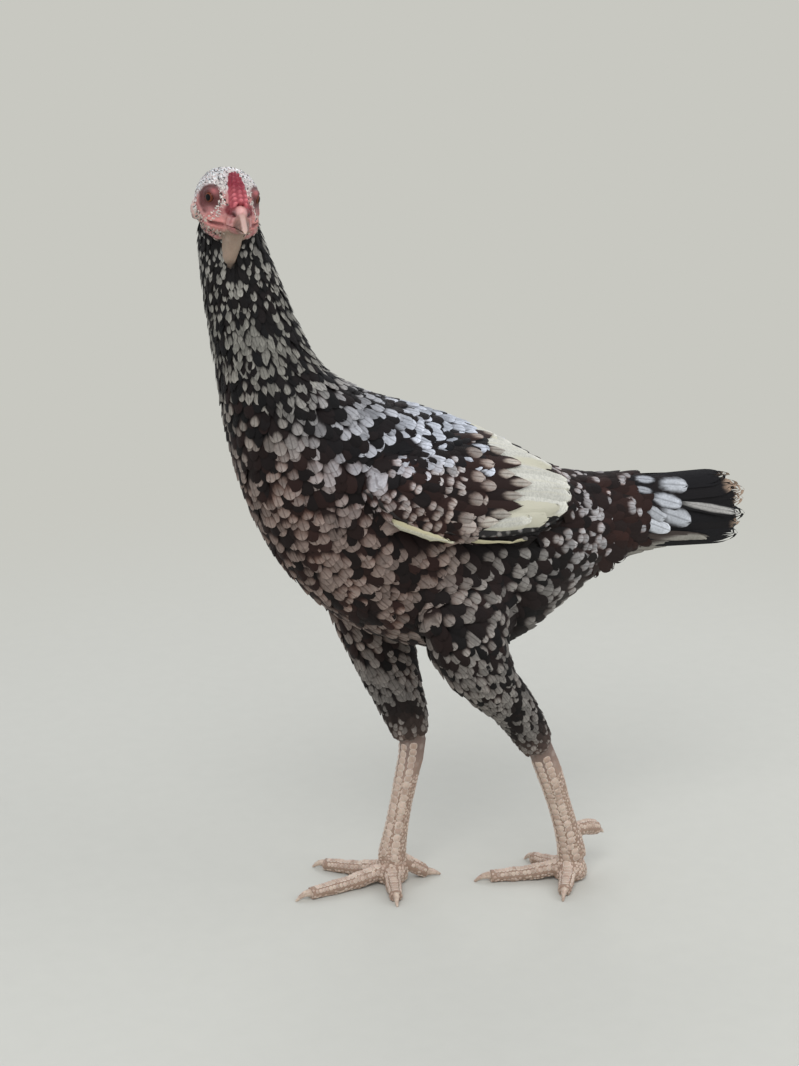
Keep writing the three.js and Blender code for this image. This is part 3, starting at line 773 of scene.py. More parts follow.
# coat, side (0 for both), x, out, z in mm, lie (back, out, up), length, width, depth in mm, marking
COAT_GUIDES = [
    ("bare", 0, -190, 4, 521, (0, 0, -1), 6, 3, 0.2, "peppered"),
    ("nape", 0, -188, 4, 497, (0.05, 0, -1), 12, 4.6, 1.6, "peppered"),
    ("nape", 0, -184, 6, 470, (0.07, 0, -1), 16, 5.4, 3.2, "streaked"),
    ("hackle", 0, -176, 6, 441, (0.14, 0, -1), 19, 6.4, 4.2, "streaked"),
    ("hackle", 0, -164, 8, 410, (0.22, 0, -1), 22, 7.6, 5.2, "streaked"),
    ("hackle", 0, -146, 12, 428, (0.4, 0, -1), 22, 7.2, 5, "streaked"),
    ("cape", 0, -122, 22, 396, (0.6, 0, -0.8), 24, 8.4, 5.6, "cape"),
    ("breast", 0, -190, 14, 376, (0.08, 0, -1), 24, 10, 6, "cape"),
    ("breast", 0, -188, 16, 340, (0.25, 0, -1), 26, 11.5, 7, "spangled"),
    ("breast", 0, -168, 24, 296, (0.55, 0, -0.84), 28, 12.5, 7, "spangled"),
    ("breast", 0, -150, 44, 345, (0.35, 0, -0.95), 26, 11.5, 7, "spangled"),
    ("breast", 0, -132, 32, 254, (0.75, 0, -0.6), 29, 12.5, 7, "spangled"),
    ("flank", 0, -118, 50, 316, (0.55, 0, -0.85), 27, 12, 7, "spangled"),
    ("flank", 0, -92, 52, 270, (0.7, 0, -0.7), 28, 12, 7, "spangled"),
    ("mantle", 0, -122, 44, 376, (0.6, 0, -0.8), 25, 12, 6, "frosted"),
    ("mantle", 0, -98, 30, 378, (0.8, 0, -0.6), 26, 12, 6, "frosted"),
    ("mantle", 0, -56, 22, 366, (0.94, 0, -0.34), 26, 11.5, 6, "frosted"),
    ("mantle", 0, -16, 18, 354, (0.96, 0, -0.26), 27, 10, 6, "frosted"),
    ("saddle", 0, 22, 16, 336, (0.93, 0, -0.36), 28, 10, 6, "saddle"),
    ("saddle", 0, 54, 16, 314, (0.94, 0, -0.3), 28, 10, 5.5, "saddle"),
    ("rump", 0, 43, 20, 300, (0.98, 0, -0.15), 27, 10.5, 5, "spotted"),
    ("rump", 0, 45, 28, 272, (0.97, 0, -0.12), 27, 11, 5, "spotted"),
    ("rump", 0, 72, 14, 302, (0.99, 0, -0.1), 30, 12, 5, "rump"),
    ("rump", 0, 72, 24, 268, (0.98, 0, -0.08), 30, 12.5, 5, "rump"),
    ("rump", 0, 64, 20, 244, (0.97, 0, 0.1), 28, 12, 6, "rump"),
    ("rump", 0, 92, 12, 240, (0.97, 0, 0.22), 30, 12.5, 5, "rump"),
    ("rump", 0, 132, 12, 286, (1, 0, -0.03), 34, 13, 4, "rectrix"),
    ("rump", 0, 136, 12, 256, (1, 0, 0.06), 34, 13, 4, "rectrix"),
    ("rump", 0, 190, 10, 272, (1, 0, 0), 34, 13, 4, "rectrix"),
    ("belly", 0, -88, 14, 214, (0.95, 0, -0.25), 29, 12.5, 7, "keel"),
    ("belly", 0, -40, 14, 194, (1, 0, 0.0), 29, 12, 7, "keel"),
    ("belly", 0, 10, 14, 192, (1, 0, 0.15), 29, 11.5, 7, "mottled"),
    ("belly", 0, 50, 12, 212, (0.93, 0, 0.4), 29, 11.5, 7, "downy"),
    ("flank", 0, -44, 52, 246, (0.85, 0, -0.5), 28, 11.5, 7, "mottled"),
    ("flank", 0, 8, 47, 250, (0.9, 0, -0.38), 28, 11.5, 7, "mottled"),
    ("flank", 0, 50, 38, 258, (0.95, 0, -0.22), 27, 11.5, 6, "mottled"),
    ("thigh", -1, -32, 46, 208, (0.4, 0, -0.92), 20, 8.4, 5, "thigh"),
    ("thigh", -1, -12, 42, 168, (0.48, 0, -0.88), 17, 7, 4.2, "thigh"),
    ("thigh", -1, 12, 36, 138, (0.52, 0, -0.85), 14, 6, 3, "thigh"),
    ("thigh", -1, 26, 30, 117, (0.5, 0, -0.87), 11, 5, 1.8, "thigh"),
    ("bare", -1, 37, 28, 95, (0.4, 0, -0.92), 6, 3, 0.1, "bare"),
    ("thigh", 1, -70, 46, 208, (0.2, 0, -0.98), 20, 8.4, 5, "thigh"),
    ("thigh", 1, -57, 42, 166, (0.25, 0, -0.97), 17, 7, 4.2, "thigh"),
    ("thigh", 1, -47, 36, 134, (0.2, 0, -0.98), 14, 6, 3, "thigh"),
    ("thigh", 1, -42, 34, 116, (0, 0, -1), 11, 5, 1.8, "thigh"),
    ("bare", 1, -42, 32, 94, (-0.1, 0, -1), 6, 3, 0.1, "bare"),
]
GUIDE_REACH = 22.0  # mm over which one guide fades into the next

# The folded wing's coverts, for both wings
WING_GUIDES = [
    ("covert", 0, -112, 44, 338, (0.86, 0, -0.5), 17, 9.5, 3, "spangled"),
    ("covert", 0, -96, 40, 352, (0.9, 0, -0.42), 17, 9, 3, "frosted"),
    ("covert", 0, -70, 34, 354, (0.93, 0, -0.36), 19, 9, 3, "frosted"),
    ("covert", 0, -30, 34, 350, (0.93, 0, -0.38), 21, 9, 3, "small_spot"),
    ("covert", 0, -84, 62, 322, (0.86, 0, -0.5), 20, 10.5, 3, "small_spot"),
    ("covert", 0, -50, 62, 324, (0.88, 0, -0.48), 22, 10.5, 3, "small_spot"),
    ("covert", 0, -14, 58, 322, (0.88, 0, -0.48), 24, 11.5, 3, "big_spot"),
    ("covert", 0, -88, 68, 300, (0.86, 0, -0.5), 23, 12, 3, "shaded"),
    ("covert", 0, -52, 70, 297, (0.86, 0, -0.5), 25, 13, 3, "shaded"),
    ("covert", 0, -20, 68, 295, (0.86, 0, -0.5), 26, 13, 3, "big_spot"),
    ("flight", 0, 40, 48, 305, (0.95, 0, -0.3), 26, 12, 3, "cream"),
]
MARKINGS |= {
    "small_spot": ((24, 17, 16), (184, 178, 172), (0.94, 0.17, 0.62), 0.7, 0.7),
    "big_spot": ((24, 17, 16), (172, 162, 155), (0.94, 0.21, 0.8), 0.72, 0.6),
    "shaded": ((27, 19, 18), (148, 128, 117), (0.95, 0.27, 0.95), 0.68, 0.6),
    "cream": ((206, 202, 182), (206, 202, 182), (1.0, 0.3, 0.5), 0.0, 0.0),
}
MARK_KEYS = ("ground", "tip", "spot", "chance", "brown")
CLUSTERS = ((19.0, 3.0), (27.0, 17.0), (12.0, 31.0))  # size in mm and shift of three patterns of patches
LIE_ROUNDS = 6  # rounds of smoothing for the feathers' lie


def marking(name):
    """A marking's values by name, with its two colours as linear light."""
    ground, tip, *rest = MARKINGS[name]
    return dict(zip(MARK_KEYS, (tone(ground), tone(tip), *rest)))


def guide_weights(far, reach):
    """How much each guide counts at each point, from their squared distances."""
    weight = np.exp(-(far - far.min(axis=1, keepdims=True)) / (2 * reach**2))
    return weight / weight.sum(axis=1, keepdims=True)


def mixed_fields(weight, guides):
    """The ends of guides' rows, which hold lie, length, width, depth and marking, mixed by weights."""
    *_, lies, lengths, widths, depths, names = zip(*guides)
    fields = {"lie": weight @ np.array(lies, dtype=float)}
    for key, values in (("length", lengths), ("width", widths), ("depth", depths)):
        fields[key] = weight @ np.array(values) * MM
    for key in MARK_KEYS:
        fields[key] = weight @ np.array([marking(name)[key] for name in names])
    return fields


def guide_fields(points, guides):
    """The lie, sizes and markings at points, blended from the guides near each one."""
    own = points * 1000
    out = own[:, 1] - BODY_Y * 1000
    places = np.array([row[2:5] for row in guides], dtype=float)
    sides = np.array([row[1] for row in guides])
    spread = np.column_stack([own[:, 0], np.abs(out), own[:, 2]])
    far = ((spread[:, None, :] - places[None, :, :]) ** 2).sum(axis=2)
    far = np.where((sides[None, :] != 0) & (np.sign(out)[:, None] != sides[None, :]), 1e6, far)
    fields = mixed_fields(guide_weights(far, GUIDE_REACH), guides)
    fields["coat"] = far.argmin(axis=1)
    return patchy(own, fields)


def patchy(own, fields):
    """Marks in clusters, with darker and paler patches between them."""
    first, second, third = (
        np.array([perlin.noise(Vector(point) / size + Vector((shift, 0, 0))) for point in own])
        for size, shift in CLUSTERS
    )
    fields["chance"] = np.clip(fields["chance"] * (1 + 0.9 * first) + 0.12 * first, 0, 1)
    fields["brown"] = np.clip(fields["brown"] * (1 + 1.1 * second), 0, 1)
    fields["spot"] = fields["spot"] * np.column_stack([np.ones(len(own)), 1 + 0.55 * third, 1 + 0.3 * third])
    fields["tip"] = fields["tip"] * (1 + 0.35 * second - 0.15 * third)[:, None]
    return fields


def dress_form(mesh, fields, crest=0.0, camber=0.1):
    """Stores the coat's fields on a form, with the lie laid flat on its surface."""
    up = normals_of(mesh)
    lie = flat_on(fields["lie"], up)
    edges = edges_of(mesh)
    for _ in range(LIE_ROUNDS):
        lie = flat_on(lie + neighbour_mean(lie, edges), up)
    kept = {key: fields[key] for key in MARK_KEYS + ("length", "width", "depth")}
    store(mesh, lie=lie, up=up, crest=crest, camber=camber, conform=1.0, **kept)


# ---- Finishes ----


SHADER_OUTPUTS = {"FLOAT": "Fac", "FLOAT_VECTOR": "Vector", "FLOAT_COLOR": "Color"}


def new_finish(name, roughness, specular=0.5, subsurface=0.0, coat=0.0):
    """A material with its plain values set on its shader."""
    material = bpy.data.materials.new(name)
    material.use_nodes = True
    tree = Tree(material.node_tree)
    shader = material.node_tree.nodes["Principled BSDF"]
    plain = {
        "Roughness": roughness,
        "Specular IOR Level": specular,
        "Coat Weight": coat,
        "Coat Roughness": 0.02,
        "Subsurface Weight": subsurface,
        "Subsurface Scale": 0.002,
    }
    for key, value in plain.items():
        shader.inputs[key].default_value = value
    return material, tree, shader


def shader_field(tree, name):
    """A named attribute in a finish."""
    output = SHADER_OUTPUTS[KINDS.get(name, "FLOAT")]
    return tree.get("ShaderNodeAttribute", output=output, attribute_name=name)


def blend(tree, factor, first, second, mode="MIX"):
    """One colour over another by a factor."""
    inputs = {0: factor, 6: first, 7: second}
    return tree.get("ShaderNodeMix", inputs, 2, data_type="RGBA", blend_type=mode)


def noise(tree, place, scale, detail=3.0, roughness=0.55):
    """A noise value at a place."""
    inputs = {"Vector": place, "Scale": scale, "Detail": detail, "Roughness": roughness}
    return tree.get("ShaderNodeTexNoise", inputs)


def darken(tree, colour, share):
    """A colour times a share of its brightness."""
    return blend(tree, 1.0, colour, tree.join(share, share, share), "MULTIPLY")


def object_place(tree):
    """Where a point of the piece is, in metres."""
    return tree.get("ShaderNodeTexCoord", output="Object")


def show(tree, shader, colour, relief, distance, strength=1.0):
    """Gives a shader its colour and a fine relief."""
    tree.feed(shader.inputs["Base Color"], colour)
    inputs = {"Height": relief, "Distance": distance, "Strength": strength}
    tree.feed(shader.inputs["Normal"], tree.get("ShaderNodeBump", inputs))


# how many barbs a vane has, how wide its shaft is as a share of it, and how much vanes differ in shade
BODY_WEB = (46.0, 0.05, 0.56)
FLIGHT_WEB = (110.0, 0.035, 0.12)


def feather_finish(name, barbs, shaft, uneven):
    """Feather web: dark ground with a pale spot near the tip, barbs, and a shaft, read from each vane."""
    material, tree, shader = new_finish(name, roughness=0.66, specular=0.16)
    own = tree.split(shader_field(tree, "vane"))
    spot = tree.split(shader_field(tree, "spot"))
    luck = tree.split(shader_field(tree, "luck"))
    side = tree.math("ABSOLUTE", own[0])
    wander = tree.join(own[0] * 1.4, own[1] * 3.2, luck[0] * 60.0)
    ragged = noise(tree, wander, 2.2, 4.0, 0.65) - 0.5
    reach = (own[1] - spot[0]) / spot[1]
    aside = own[0] / spot[2]
    off = tree.math("SQRT", reach * reach + aside * aside) + ragged * 0.55 + (luck[1] - 0.5) * 0.5
    has_spot = tree.math("LESS_THAN", luck[0], shader_field(tree, "chance"))
    spotted = (1.0 - tree.step(off, 0.62, 1.2)) * has_spot

    barb = tree.math("SINE", (own[1] * barbs + side * (barbs * 0.3)) * (2 * math.pi))
    shade = (0.96 + barb * 0.05) * (1 - 0.6 * uneven + luck[2] * uneven)
    is_brown = shader_field(tree, "brown") * tree.step(luck[1], 0.2, 0.75)
    ground = blend(tree, is_brown, shader_field(tree, "ground"), "brown_web")
    ground = darken(tree, ground, shade)
    fleck = tree.step(noise(tree, object_place(tree), 620.0, 2.0), 0.36, 0.62)
    # The pale spot has random flecks and grows lighter at the vane's very tip, a painted highlight along its
    # edge.
    fleck_and_tip_highlight = shade * (0.8 + fleck * 0.16) * (0.9 + tree.step(own[1], 0.8, 1.0) * 0.28)
    pale = darken(tree, shader_field(tree, "tip"), fleck_and_tip_highlight)
    quill = 1.0 - tree.step(side, shaft * 0.5, shaft * 2.4)
    # Brown regions brown the quill and each pale spot towards its edge: partly the web's own brown, partly
    # painted shade where the tips overlap.
    brown_quill_and_shaded_edge = tree.math("MAXIMUM", quill * 0.4, tree.step(off, 0.25, 1.05)) * shader_field(tree, "brown")
    pale = blend(tree, brown_quill_and_shaded_edge, pale, blend(tree, 1.0, pale, "brown_wash", "MULTIPLY"))
    pale = blend(tree, quill * 0.35, pale, ground)
    show(tree, shader, blend(tree, spotted, ground, pale), barb * 0.25 + quill * 0.5, 0.00012, 0.7)
    return material


def skin_finish():
    """Skin: the colour kept on it, with the coat's own spots under the feathers, pores and creases."""
    material, tree, shader = new_finish("hen_skin", roughness=0.52, subsurface=0.12, specular=0.4)
    shader.inputs["Subsurface Radius"].default_value = (1.0, 0.35, 0.25)
    place = object_place(tree)
    cloudy = 0.8 + noise(tree, place, 170.0, 4.0) * 0.4
    fine = 0.82 + noise(tree, place, 1100.0, 3.0) * 0.36
    skin = darken(tree, shader_field(tree, "hue"), cloudy * fine)
    cell = tree.get("ShaderNodeTexVoronoi", {"Vector": place, "Scale": 150.0})
    ragged = noise(tree, place, 420.0, 3.0) * 0.3
    spotted = (1.0 - tree.step(cell + ragged, 0.36, 0.6)) * 0.7
    under = blend(tree, spotted, shader_field(tree, "ground"), shader_field(tree, "tip"))
    colour = blend(tree, shader_field(tree, "bare"), under, skin)
    creases = {"Vector": place, "Scale": 1250.0}
    crease = tree.get("ShaderNodeTexVoronoi", creases, "Distance", feature="DISTANCE_TO_EDGE")
    relief = tree.step(crease, 0.0, 0.3) * 0.35 + noise(tree, place, 520.0, 4.0, 0.65)
    show(tree, shader, colour, relief, 0.0003, 0.6)
    return material


# ---- Head ----

# In the head's frame, in mm
EYE_SOCKET_FORWARD, EYE_SOCKET_RADIUS = 4.4, 6.1
LID_OPENING = (43.0, 35.0)  # degrees from the eye's axis to the lids' edge, fore and aft, then up and down
LID_REACH = 34.0  # degrees past the edge over which the lids fade into the face
LID_BAND = 2.6  # degrees either side of the edge that are drawn onto it
LID_SQUARENESS = 1.75  # 2 for a round opening
LID_GAP, LID_STAND = 0.26, 0.28  # mm from the eyeball to the edge and to the lids' skin
LID_FOLD = (0.26, 7.5, 13)  # height in mm of the lids' folds, degrees from one to the next, and their fading
LIDS_WITHIN = 15  # mm from the eye's middle
COMB_PATH = np.array(
    [(20.3, 0, 2.6), (17.4, 0, 5.2), (12.4, 0, 9.6), (7.5, 0, 13.9), (3, 0, 17), (-0.5, 0, 18.3)]
)
COMB_HALF_WIDTHS = (5, 5.6, 4.9, 4, 2.9, 1.4)
COMB_BEAD = 3.3  # mm from one bead to the next
COMB_ROWS = ((-3.7, 0.0), (0, 0.45), (3.7, 0.15))  # each row's place aside in mm, and its shift in beads
COMB_BEADS = 12  # as many as a row may have
GAPE_PATH = np.array([(25, 6.5, -9.4), (17, 11.8, -10.4), (9.5, 15.2, -10.9)])
BROW = (9, 14.8, 9.4)
CHEEK = (9, 15.0, -3.4)
NOSTRIL = (25.4, 5.6, -1.6)
# middle of the cere's paler spot, a painted highlight
CERE_HIGHLIGHT = (25.0, 0, 2.2)
# height, middle and size of what stands out or sinks in at the nostrils, then over the eyes
NOSE_RELIEF = [
    (1.5, (22.3, 6.2, 1.2), (2.8, 2.4, 3.0)),
    (0.9, (24.6, 0, 1.4), (2.6, 2.2, 2.4)),
    (-1.9, (25.2, 5.4, -2.4), (1.7, 1.6, 0.8)),
]
BROW_RELIEF = [
    (1.3, BROW, (3.2, 2.6, 2.0)),
    (0.6, (2, 16.8, 10.0), (5.0, 2.6, 2.0)),
]
# middle and size of the dark patch and the bare ring round the eye, and of the nostril's mound
EYE_PATCH = ((4.6, 15.6, 3.2), (1.1, 1, 0.95))
EYE_RING = ((5.6, 15.4, 2.6), (1.1, 1, 0.95))
NOSTRIL_MOUND = ((22.8, 7.2, 1.0), (6.2, 4.2, 4.8))
THROAT_PATH = np.array([(17, 0, -14), (13, 0, -27), (10, -1.5, -44)])


def side_by_side(points):
    """Points of the head's frame folded onto its left half."""
    return points * (1, 0, 1) + np.abs(points) * (0, 1, 0)


def blob(points, centre, size):
    """1 at a centre, falling off smoothly over a size that may differ along each axis."""
    return np.exp(-(((points - np.array(centre, dtype=float)) / size) ** 2).sum(axis=1))


def along(points, path):
    """How far points are from a path of corners, and the share of the path at the nearest place."""
    best = np.full(len(points), np.inf)
    share = np.zeros(len(points))
    steps = np.linalg.norm(np.diff(path, axis=0), axis=1)
    done = 0.0
    for first, last, step in zip(path[:-1], path[1:], steps):
        way = last - first
        part = np.clip(((points - first) @ way) / (way @ way), 0, 1)
        gap = np.linalg.norm(points - first - part[:, None] * way, axis=1)
        closer = gap < best
        best = np.where(closer, gap, best)
        share = np.where(closer, (done + part * step) / steps.sum(), share)
        done += step
    return best, share


def away_from(nodes, points, limit):
    """The distance in mm from points to the nearest of some nodes, up to a limit."""
    nearest = np.full(len(points), limit)
    for node in nodes:
        tree = bvh_of(frame["nodes"][node].data)
        for index, point in enumerate(points):
            found = tree.find_nearest(Vector(point), limit * MM)
            if found[3] is not None:
                nearest[index] = min(nearest[index], found[3] * 1000)
    return nearest


def mottling(points, scale):
    """A smooth random value at each point."""
    return np.array([perlin.noise(Vector(point) * scale) for point in points])


def comb_beads(own):
    """The comb's relief from 0 in its furrows to 1 on its beads."""
    middle = own * (1, 0, 1)
    _, share = along(middle, COMB_PATH)
    length = np.linalg.norm(np.diff(COMB_PATH, axis=0), axis=1).sum()
    corners = np.linspace(0, 1, len(COMB_HALF_WIDTHS))
    wide = np.interp(share, corners, COMB_HALF_WIDTHS) / 5
    relief = np.zeros(len(own))
    rng = np.random.default_rng(5)
    for aside, shift in COMB_ROWS:
        place = share * length / COMB_BEAD + shift
        strength = np.interp(place, np.arange(COMB_BEADS), rng.uniform(0.75, 1.0, COMB_BEADS))
        across = np.exp(-(((own[:, 1] - aside * wide) / (1.45 * wide)) ** 2))
        beads = 0.5 + 0.5 * np.cos(2 * np.pi * place)
        relief = np.maximum(relief, across * (0.35 + 0.65 * beads) * strength)
    return relief


def gap_from(points, middle, size):
    """The distance of points from a middle, in units of a size that may differ along each axis."""
    return np.linalg.norm((points - middle) / size, axis=1)


def nose_rise(half):
    """How far the nostril mounds, the cere and the nostrils' slits stand out, in mm."""
    return sum(height * blob(half, middle, size) for height, middle, size in NOSE_RELIEF)


def shape_lids(own):
    """Draws the skin round each eye into lids that end at the opening."""
    for sign in (-1, 1):
        centre = np.array(EYE_PLACE) * 1000 * (1, sign, 1)
        facing = np.array((math.cos(EYE_FACING), sign * math.sin(EYE_FACING), 0))
        fore = unit(np.array((1.0, 0, 0)) - facing * facing[0])
        out = own - centre
        far = np.linalg.norm(out, axis=1)
        ray = out / far[:, None]
        angle = np.degrees(np.arccos(np.clip(ray @ facing, -1, 1)))
        aside = unit(ray - facing * (ray @ facing)[:, None])
        wide, high = LID_OPENING
        share = (np.abs(aside @ fore) / wide) ** LID_SQUARENESS
        share += (np.abs(aside[:, 2]) / high) ** LID_SQUARENESS
        edge = share ** (-1 / LID_SQUARENESS)
        ours = (far < LIDS_WITHIN) & (angle < edge + LID_REACH)
        past = angle - edge
        radius = EYE_RADIUS * 1000
        on_edge = np.abs(past) < LID_BAND
        new_angle = np.radians(np.where(on_edge, edge, angle))[:, None]
        height, pitch, fading = LID_FOLD
        fold = height * np.cos(past / pitch * 2 * np.pi) * np.exp(-past / fading)
        lid = radius + LID_STAND + 0.55 * ramp(past, 0, 9) + fold * ramp(past, 2, 7)
        raised = lid + (far - lid) * ramp(past, 4, LID_REACH) ** 1.2
        new_far = np.where(past < -LID_BAND, radius - 0.7, raised)
        new_far = np.where(on_edge, radius + LID_GAP, new_far)
        turned = facing * np.cos(new_angle) + aside * np.sin(new_angle)
        own = np.where(ours[:, None], centre + turned * new_far[:, None], own)
    return own


def sculpt_head(mesh):
    """Lids, brow, comb, nostrils, gape folds and wrinkles on the head's skin."""
    points = points_of(mesh)
    own = to_head(points) * 1000
    head = np.where(head_zone(points) > 0.01)[0]
    face = own[head]
    face = shape_lids(face)
    out = normals_of(mesh)[head] @ HEAD_AXES
    half = side_by_side(face)
    eye_gap = np.linalg.norm(half - np.array(EYE_PLACE) * 1000, axis=1)
    clear = ramp(eye_gap, 7.0, 9.0)
    comb = 1 - ramp(away_from(["comb"], points[head], 2.0), 0.5, 1.2)
    gape, share = along(half, GAPE_PATH)
    below = half[:, 2] - np.interp(half[:, 0], (9.5, 25), (-10.9, -9.4))
    lips = ramp(share, 0.25, 0.5)
    rise = comb * (2.0 * comb_beads(face) - 1.0)
    for height, middle, size in BROW_RELIEF:
        rise += clear * height * blob(half, middle, size)
    rise += nose_rise(half)
    rise += lips * (1.1 * np.exp(-(((gape - 2.0) / 1.1) ** 2)) - 1.5 * np.exp(-((gape / 0.8) ** 2)))
    rise += lips * np.where(below > 0, 0.5, 0.35) * np.exp(-(((gape - 4.8) / 1.2) ** 2))
    crease = mottling(face, 0.42) + 0.5 * mottling(face, 0.95)
    rise += clear * 0.5 * crease * (1 - 0.7 * comb)
    face = face + out * rise[:, None]
    points[head] = from_head(face * MM)
    move_points(mesh, points)


def painted(colours, *layers):
    """Linear colours under layers of named colour, each laid on by its weight."""
    for weight, colour in layers:
        colours = colours + weight[:, None] * (np.array(tone(colour)) - colours)
    return colours


def paint_face(face):
    """The colours of the bare face at points of the head's frame in mm."""
    half = side_by_side(face)
    mottle = mottling(face, 0.3)
    crown = ramp(half[:, 2] - 0.35 * half[:, 0], 2, 9)
    eye_gap = gap_from(half, *EYE_PATCH)
    nostril_gap = gap_from(half, *NOSTRIL_MOUND)
    gape, share = along(half, GAPE_PATH)
    lips = ramp(share, 0.15, 0.45)
    return painted(
        np.tile(tone("face"), (len(face), 1)),
        (ramp(mottle, 0.0, 0.35) * 0.55, "flush"),
        (crown * 0.85, "crown"),
        (crown * ramp(mottling(face, 0.9), 0.16, 0.3) * 0.75, "crown_fleck"),
        ((1 - ramp(eye_gap + 1.6 * mottle, 8.0, 10.6)) * 0.94, "eye_patch"),
        (blob(half, BROW, (3.4, 3.0, 2.2)) * 0.85, "brow"),
        (blob(half, CHEEK, (6.5, 5, 2.2)) * 0.6, "cheek"),
        (1 - ramp(nostril_gap, 0.75, 1.2), "nostril_mound"),
        (blob(half, NOSTRIL, (2.2, 2.2, 1.5)), "nostril"),
        # the cere's paler middle is a painted highlight
        (blob(half, CERE_HIGHLIGHT, (3.6, 2.6, 3.2)), "cere"),
        (lips * np.exp(-(((gape - 2.6) / 2.2) ** 2)) * 0.85, "lip"),
        (lips * np.exp(-((gape / 1.3) ** 2)), "gape"),
    )


def paint_skin(points):
    """The colours of bare skin: face, comb, lobes, throat and legs."""
    own = to_head(points) * 1000
    head = head_zone(points) > 0.01
    face = own[head]
    comb = 1 - ramp(away_from(["comb"], points[head], 2.4), 1.2, 1.9)
    throat, _ = along(face, THROAT_PATH)
    lobe = 1 - ramp(away_from(["ear_lobe_left", "ear_lobe_right"], points[head], 2.0), 0.7, 1.4)
    colours = np.tile(tone("leg"), (len(points), 1))
    colours[head] = painted(
        paint_face(face),
        # painted shade: the comb is darker in its furrows and lighter on its beads, following its relief
        (comb, "comb"),
        (comb * ramp(comb_beads(face), 0.15, 0.8), "comb_bead"),
        (comb * ramp(face[:, 2], 8.5, 15) * 0.85, "comb_top"),
        ((1 - ramp(throat, 7, 11)) * ramp(-face[:, 2], 11, 15), "throat"),
        (lobe, "lobe"),
    )
    outer, _ = along(own, THROAT_PATH)
    strip = (1 - ramp(outer, 8, 12)) * ~head * ramp(own[:, 2], -44, -36)
    return painted(colours, (strip, "throat"))


def refine_face(mesh):
    """Cuts the face's mesh finer so that lids and comb can be drawn on it."""
    own = to_head(points_of(mesh)) * 1000
    fine = (head_zone(points_of(mesh)) > 0.3) & (own[:, 0] > -9) & (own[:, 2] > -24)
    work = bmesh.new()
    work.from_mesh(mesh)
    work.verts.ensure_lookup_table()
    edges = [edge for edge in work.edges if fine[edge.verts[0].index] and fine[edge.verts[1].index]]
    bmesh.ops.subdivide_edges(work, edges=edges, cuts=1, use_grid_fill=True)
    bmesh.ops.triangulate(work, faces=[face for face in work.faces if len(face.verts) > 4])
    work.to_mesh(mesh)
    work.free()
    own = to_head(points_of(mesh)) * 1000
    inside = head_zone(points_of(mesh)) > 0.3
    relax(mesh, 2, (inside & (own[:, 0] > -9)).astype(float))


# ---- Eyes, beak and claws ----

HORN_START = 26.0


def make_eye(side):
    """One eyeball with a clear bulge over its iris."""
    centre = middle_of(f"eye_{side}")
    sign = 1 if side == "left" else -1
    facing = HEAD_TURN @ Vector((math.cos(EYE_FACING), sign * math.sin(EYE_FACING), 0))
    work = bmesh.new()
    bmesh.ops.create_uvsphere(work, u_segments=64, v_segments=48, radius=1.0)
    mesh = bpy.data.meshes.new(f"eyeball_{side}")
    work.to_mesh(mesh)
    work.free()
    own = unit(points_of(mesh))
    angle = np.degrees(np.arccos(np.clip(own[:, 2], -1, 1)))
    far = EYE_RADIUS + 0.35 * MM * (1 - ramp(angle, 8, 36))
    store(mesh, gaze=own)
    turn = facing.to_track_quat("Z", "Y").to_matrix()
    move_points(mesh, np.array(centre) + (own * far[:, None]) @ np.array(turn).T)
    shade_smooth(mesh)
    return link(mesh.name, mesh)


def eye_finish(pupil, iris):
    """A dark brown iris with a ring, round a black pupil: all by degrees from the eye's axis."""
    material, tree, shader = new_finish("hen_eye", roughness=0.3, specular=0.05, coat=0.25)
    own = tree.split(shader_field(tree, "gaze"))
    angle = tree.math("ARCCOSINE", own[2]) * (180 / math.pi)
    spoke = tree.math("ARCTAN2", own[1], own[0])
    streaks = noise(tree, tree.join(spoke * 7.0, angle * 0.05, 0.0), 3.0)
    inner = blend(tree, tree.step(streaks, 0.3, 0.7), "iris_dark", "iris_light")
    outer = blend(tree, tree.step(angle, iris - 9, iris - 1), inner, "iris_edge")
    ring = tree.step(angle, pupil - 1, pupil + 1) * (1.0 - tree.step(angle, pupil + 1, pupil + 6))
    outer = blend(tree, ring * 0.5, outer, "iris_ring")
    colour = blend(tree, tree.step(angle, pupil - 1.2, pupil + 0.6), "pupil", outer)
    colour = blend(tree, tree.step(angle, iris, iris + 3), colour, "eye_rim")
    tree.feed(shader.inputs["Base Color"], colour)
    return material


def make_horn(name, nodes, voxel, swell=0.0):
    """Smooth horn round some nodes."""
    piece = shell(name, nodes, voxel, swell)
    relax(piece.data, 3)
    shade_smooth(piece.data)
    return piece


def make_beak(part):
    """Half of the beak: a fleshy root with the nostrils, and a narrower plate of horn in front of it."""
    piece = make_horn(f"horn_{part}", [f"beak_{part}"], 0.4 * MM)
    mesh = piece.data
    own = to_head(points_of(mesh)) * 1000
    out = normals_of(mesh) @ HEAD_AXES
    horn = ramp(own[:, 0] + 0.1 * own[:, 2], HORN_START, HORN_START + 0.9)
    front = ramp(own[:, 0], 25, 29)
    shaped = own * np.column_stack([np.ones(len(own)), 1 - 0.2 * front, np.ones(len(own))])
    shaped += out * (nose_rise(side_by_side(own)) * (1 - horn) * (part == "upper") - 0.3 * horn)[:, None]
    hook = ramp(own[:, 0], 33, 40) * (part == "upper")
    shaped += hook[:, None] * (-1.8, 0, 2.2)
    move_points(mesh, from_head(shaped * MM))
    store(mesh, place=own, horn=horn, hue=paint_face(own))
    return piece


